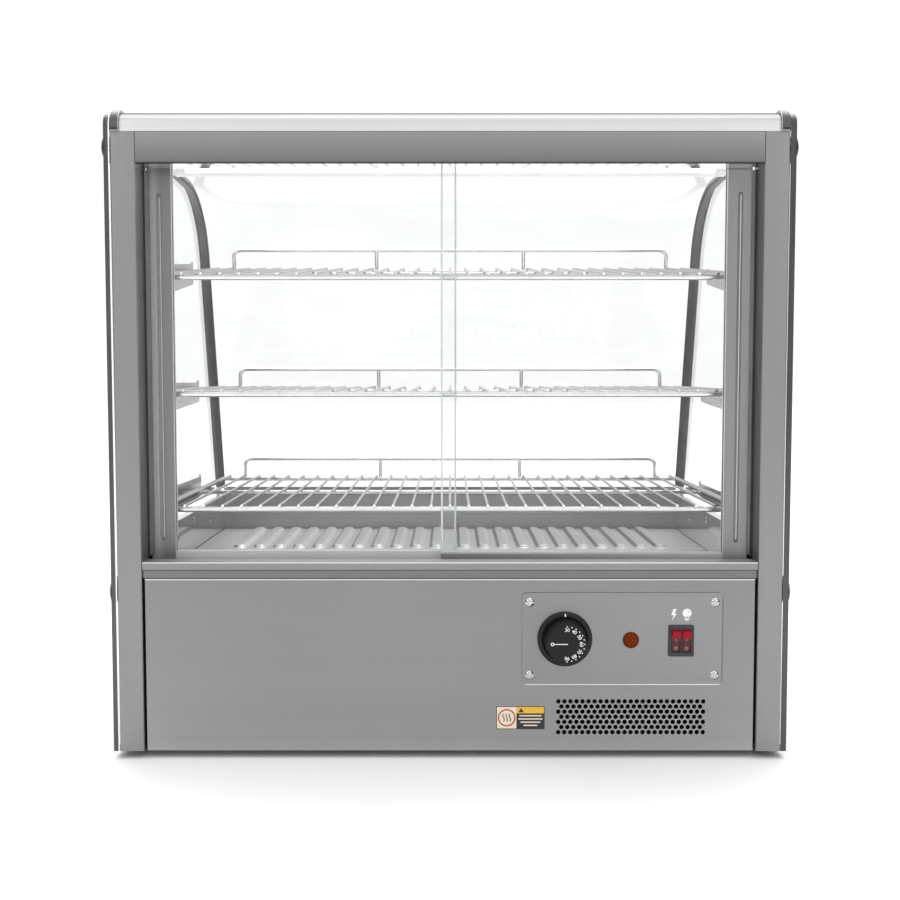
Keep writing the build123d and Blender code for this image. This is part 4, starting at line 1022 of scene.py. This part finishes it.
def hot_surface_sticker():
    """Plain pictogram sticker: a ringed hot-surface sign, a yellow band and plain bars."""
    panel = (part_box("base_panel")[0][1] - STAFF_FACE) / MM
    x0, x1, z0, z1 = 46.8, 95.8, 21.9, 45.4
    layers = [("sticker_border", [rectangle(x0, x1, z0, z1)], ink_black),
              ("sticker_field", [rectangle(x0 + 0.7, x0 + 20.4, z0 + 0.7, z1 - 0.7)], ink_cream),
              ("sticker_band", [rectangle(x0 + 20.4, x1 - 0.7, z1 - 7.2, z1 - 0.7)], ink_yellow)]
    cx, cz = x0 + 10.6, (z0 + z1) / 2
    waves = []
    for shift in (-3.2, 0.0, 3.2):
        left = [(cx + shift - 0.5 + 0.8 * math.sin(k / 8 * 2 * math.pi), cz - 4 + k) for k in range(9)]
        waves.append(left + [(x + 1.0, z) for x, z in reversed(left)])
    layers.append(("sticker_waves", waves, ink_black))
    layers.append(("sticker_ring", ring_outlines(cx, cz, 9.0, 7.6, 36), ink_red))
    bars = []
    for row, width in enumerate((22.5, 24.5, 20.0, 14.0)):
        top = z1 - 9.0 - row * 3.3
        bars.append(rectangle(x0 + 34.6 - width / 2, x0 + 34.6 + width / 2, top - 1.3, top))
    layers.append(("sticker_bars", bars, ink_cream))
    triangle = [(x0 + 22.4, z1 - 6.2), (x0 + 28.0, z1 - 6.2), (x0 + 25.2, z1 - 1.6)]
    layers.append(("sticker_triangle", [triangle], ink_black))
    for index, (name, outlines, material) in enumerate(layers):
        decal(name, outlines, panel - 0.03 * index, "cabinet", "brushed_stainless", material, 0.05)


for side in ("left", "right"):
    groove_highlight(side)
thermostat()
dial_marks()
switch_keys()
panel_icons()
indicator()
hot_surface_sticker()


# Studio: pale floor, soft light, and a camera in front of the staff side

def world_value(tree, operation, *values):
    """A math node of the world. Each value is a number or another node's output."""
    node = tree.nodes.new("ShaderNodeMath")
    node.operation = operation
    for socket, value in zip(node.inputs, values):
        if isinstance(value, float):
            socket.default_value = value
        else:
            tree.links.new(value, socket)
    return node.outputs[0]


def world_ramp(tree, source, stops):
    """A strength that follows a value from 0 to 1, through (place, strength) stops."""
    node = tree.nodes.new("ShaderNodeValToRGB")
    elements = node.color_ramp.elements
    while len(elements) < len(stops):
        elements.new(1.0)
    for element, (place, strength) in zip(elements, stops):
        element.position = place
        element.color = (*grey(strength), 1)
    tree.links.new(source, node.inputs[0])
    return node.outputs[0]


def world_light():
    """White to the eye, and a sky that lights the case.

    The sky has a dark flag at each side, which gives bright metal its outlines.
    """
    world = bpy.data.worlds.new("studio")
    bpy.context.scene.world = world
    world.use_nodes = True
    tree = world.node_tree
    tree.nodes.clear()
    coords = tree.nodes.new("ShaderNodeTexCoord")
    split = tree.nodes.new("ShaderNodeSeparateXYZ")
    tree.links.new(coords.outputs["Generated"], split.inputs[0])
    from_front = world_value(tree, "MULTIPLY_ADD", split.outputs["Y"], 0.5, 0.5)
    from_below = world_value(tree, "MULTIPLY_ADD", split.outputs["Z"], 0.5, 0.5)
    sideways = world_value(tree, "ABSOLUTE", split.outputs["X"])
    depth_part = world_ramp(tree, from_front, [(0.0, 0.9), (0.3, 0.92), (0.6, 0.97), (1.0, 1.0)])
    height_part = world_ramp(tree, from_below,
                             [(0.0, 0.9), (0.45, 0.94), (0.55, 1.0), (0.75, 1.05), (1.0, 1.1)])
    flags = world_ramp(tree, sideways, [(0.0, 1.0), (0.6, 1.0), (0.76, 0.2), (1.0, 0.1)])
    sky = world_value(tree, "MULTIPLY", depth_part, height_part)
    lit = tree.nodes.new("ShaderNodeBackground")
    tree.links.new(world_value(tree, "MULTIPLY", sky, flags), lit.inputs["Strength"])
    seen = tree.nodes.new("ShaderNodeBackground")
    seen.inputs["Strength"].default_value = 1.04
    for node in (lit, seen):
        node.inputs["Color"].default_value = (1, 1, 1, 1)
    path = tree.nodes.new("ShaderNodeLightPath")
    mix = tree.nodes.new("ShaderNodeMixShader")
    tree.links.new(path.outputs["Is Camera Ray"], mix.inputs[0])
    tree.links.new(lit.outputs[0], mix.inputs[1])
    tree.links.new(seen.outputs[0], mix.inputs[2])
    output = tree.nodes.new("ShaderNodeOutputWorld")
    tree.links.new(mix.outputs[0], output.inputs[0])


def area_light(name, place, target, size, power):
    data = bpy.data.lights.new(name, "AREA")
    data.shape = "RECTANGLE"
    data.size, data.size_y = size
    data.energy = power
    lamp = bpy.data.objects.new(name, data)
    bpy.context.scene.collection.objects.link(lamp)
    lamp.location = place
    lamp.rotation_euler = (Vector(target) - Vector(place)).to_track_quat("-Z", "Y").to_euler()


def sky_light():
    """Wide soft light from above and behind, which keeps the floor white out to the horizon."""
    data = bpy.data.lights.new("sky", "SUN")
    data.energy = 1.3
    data.angle = math.radians(75)
    lamp = bpy.data.objects.new("sky", data)
    bpy.context.scene.collection.objects.link(lamp)
    lamp.rotation_euler = (math.radians(-9), 0, 0)


def floor():
    size = 12.0
    corners = [(-size, -size, 0), (size, -size, 0), (size, size, 0), (-size, size, 0)]
    mesh = bpy.data.meshes.new("floor")
    mesh.from_pydata(corners, [], [(0, 1, 2, 3)])
    plane = bpy.data.objects.new("floor", mesh)
    bpy.context.scene.collection.objects.link(plane)
    shade = Shade("floor_paper")
    tone = shade.blend(shade.span(shade.noise(3, 2), 0, 1), grey(0.93), grey(0.95))
    shade.link(tone, shade.surface.inputs["Base Color"])
    shade.set(Roughness=0.9, Specular_IOR_Level=0.1)
    mesh.materials.append(shade.material)


def camera():
    """A little above the middle of the case, 993 mm in front of it, looking slightly down."""
    data = bpy.data.cameras.new("view")
    data.sensor_width = 36.0
    data.lens = 40.0
    data.shift_y = -0.0267
    data.clip_start = 0.05
    eye = bpy.data.objects.new("view", data)
    bpy.context.scene.collection.objects.link(eye)
    eye.location = at(0, -993, 382)
    looks_down = 3.03
    eye.rotation_euler = (math.radians(90 - looks_down), 0, 0)
    bpy.context.scene.camera = eye


world_light()
floor()
area_light("overhead", (0.0, 0.6, 2.6), (0, 0, 0.2), (3.0, 2.2), 37)
area_light("front_left", (-1.9, -1.7, 1.7), (0, 0, 0.35), (1.2, 1.2), 8)
area_light("front_right", (1.9, -1.7, 1.4), (0, 0, 0.35), (1.2, 1.2), 6)
sky_light()
camera()
bpy.context.scene.view_settings.view_transform = "Standard"
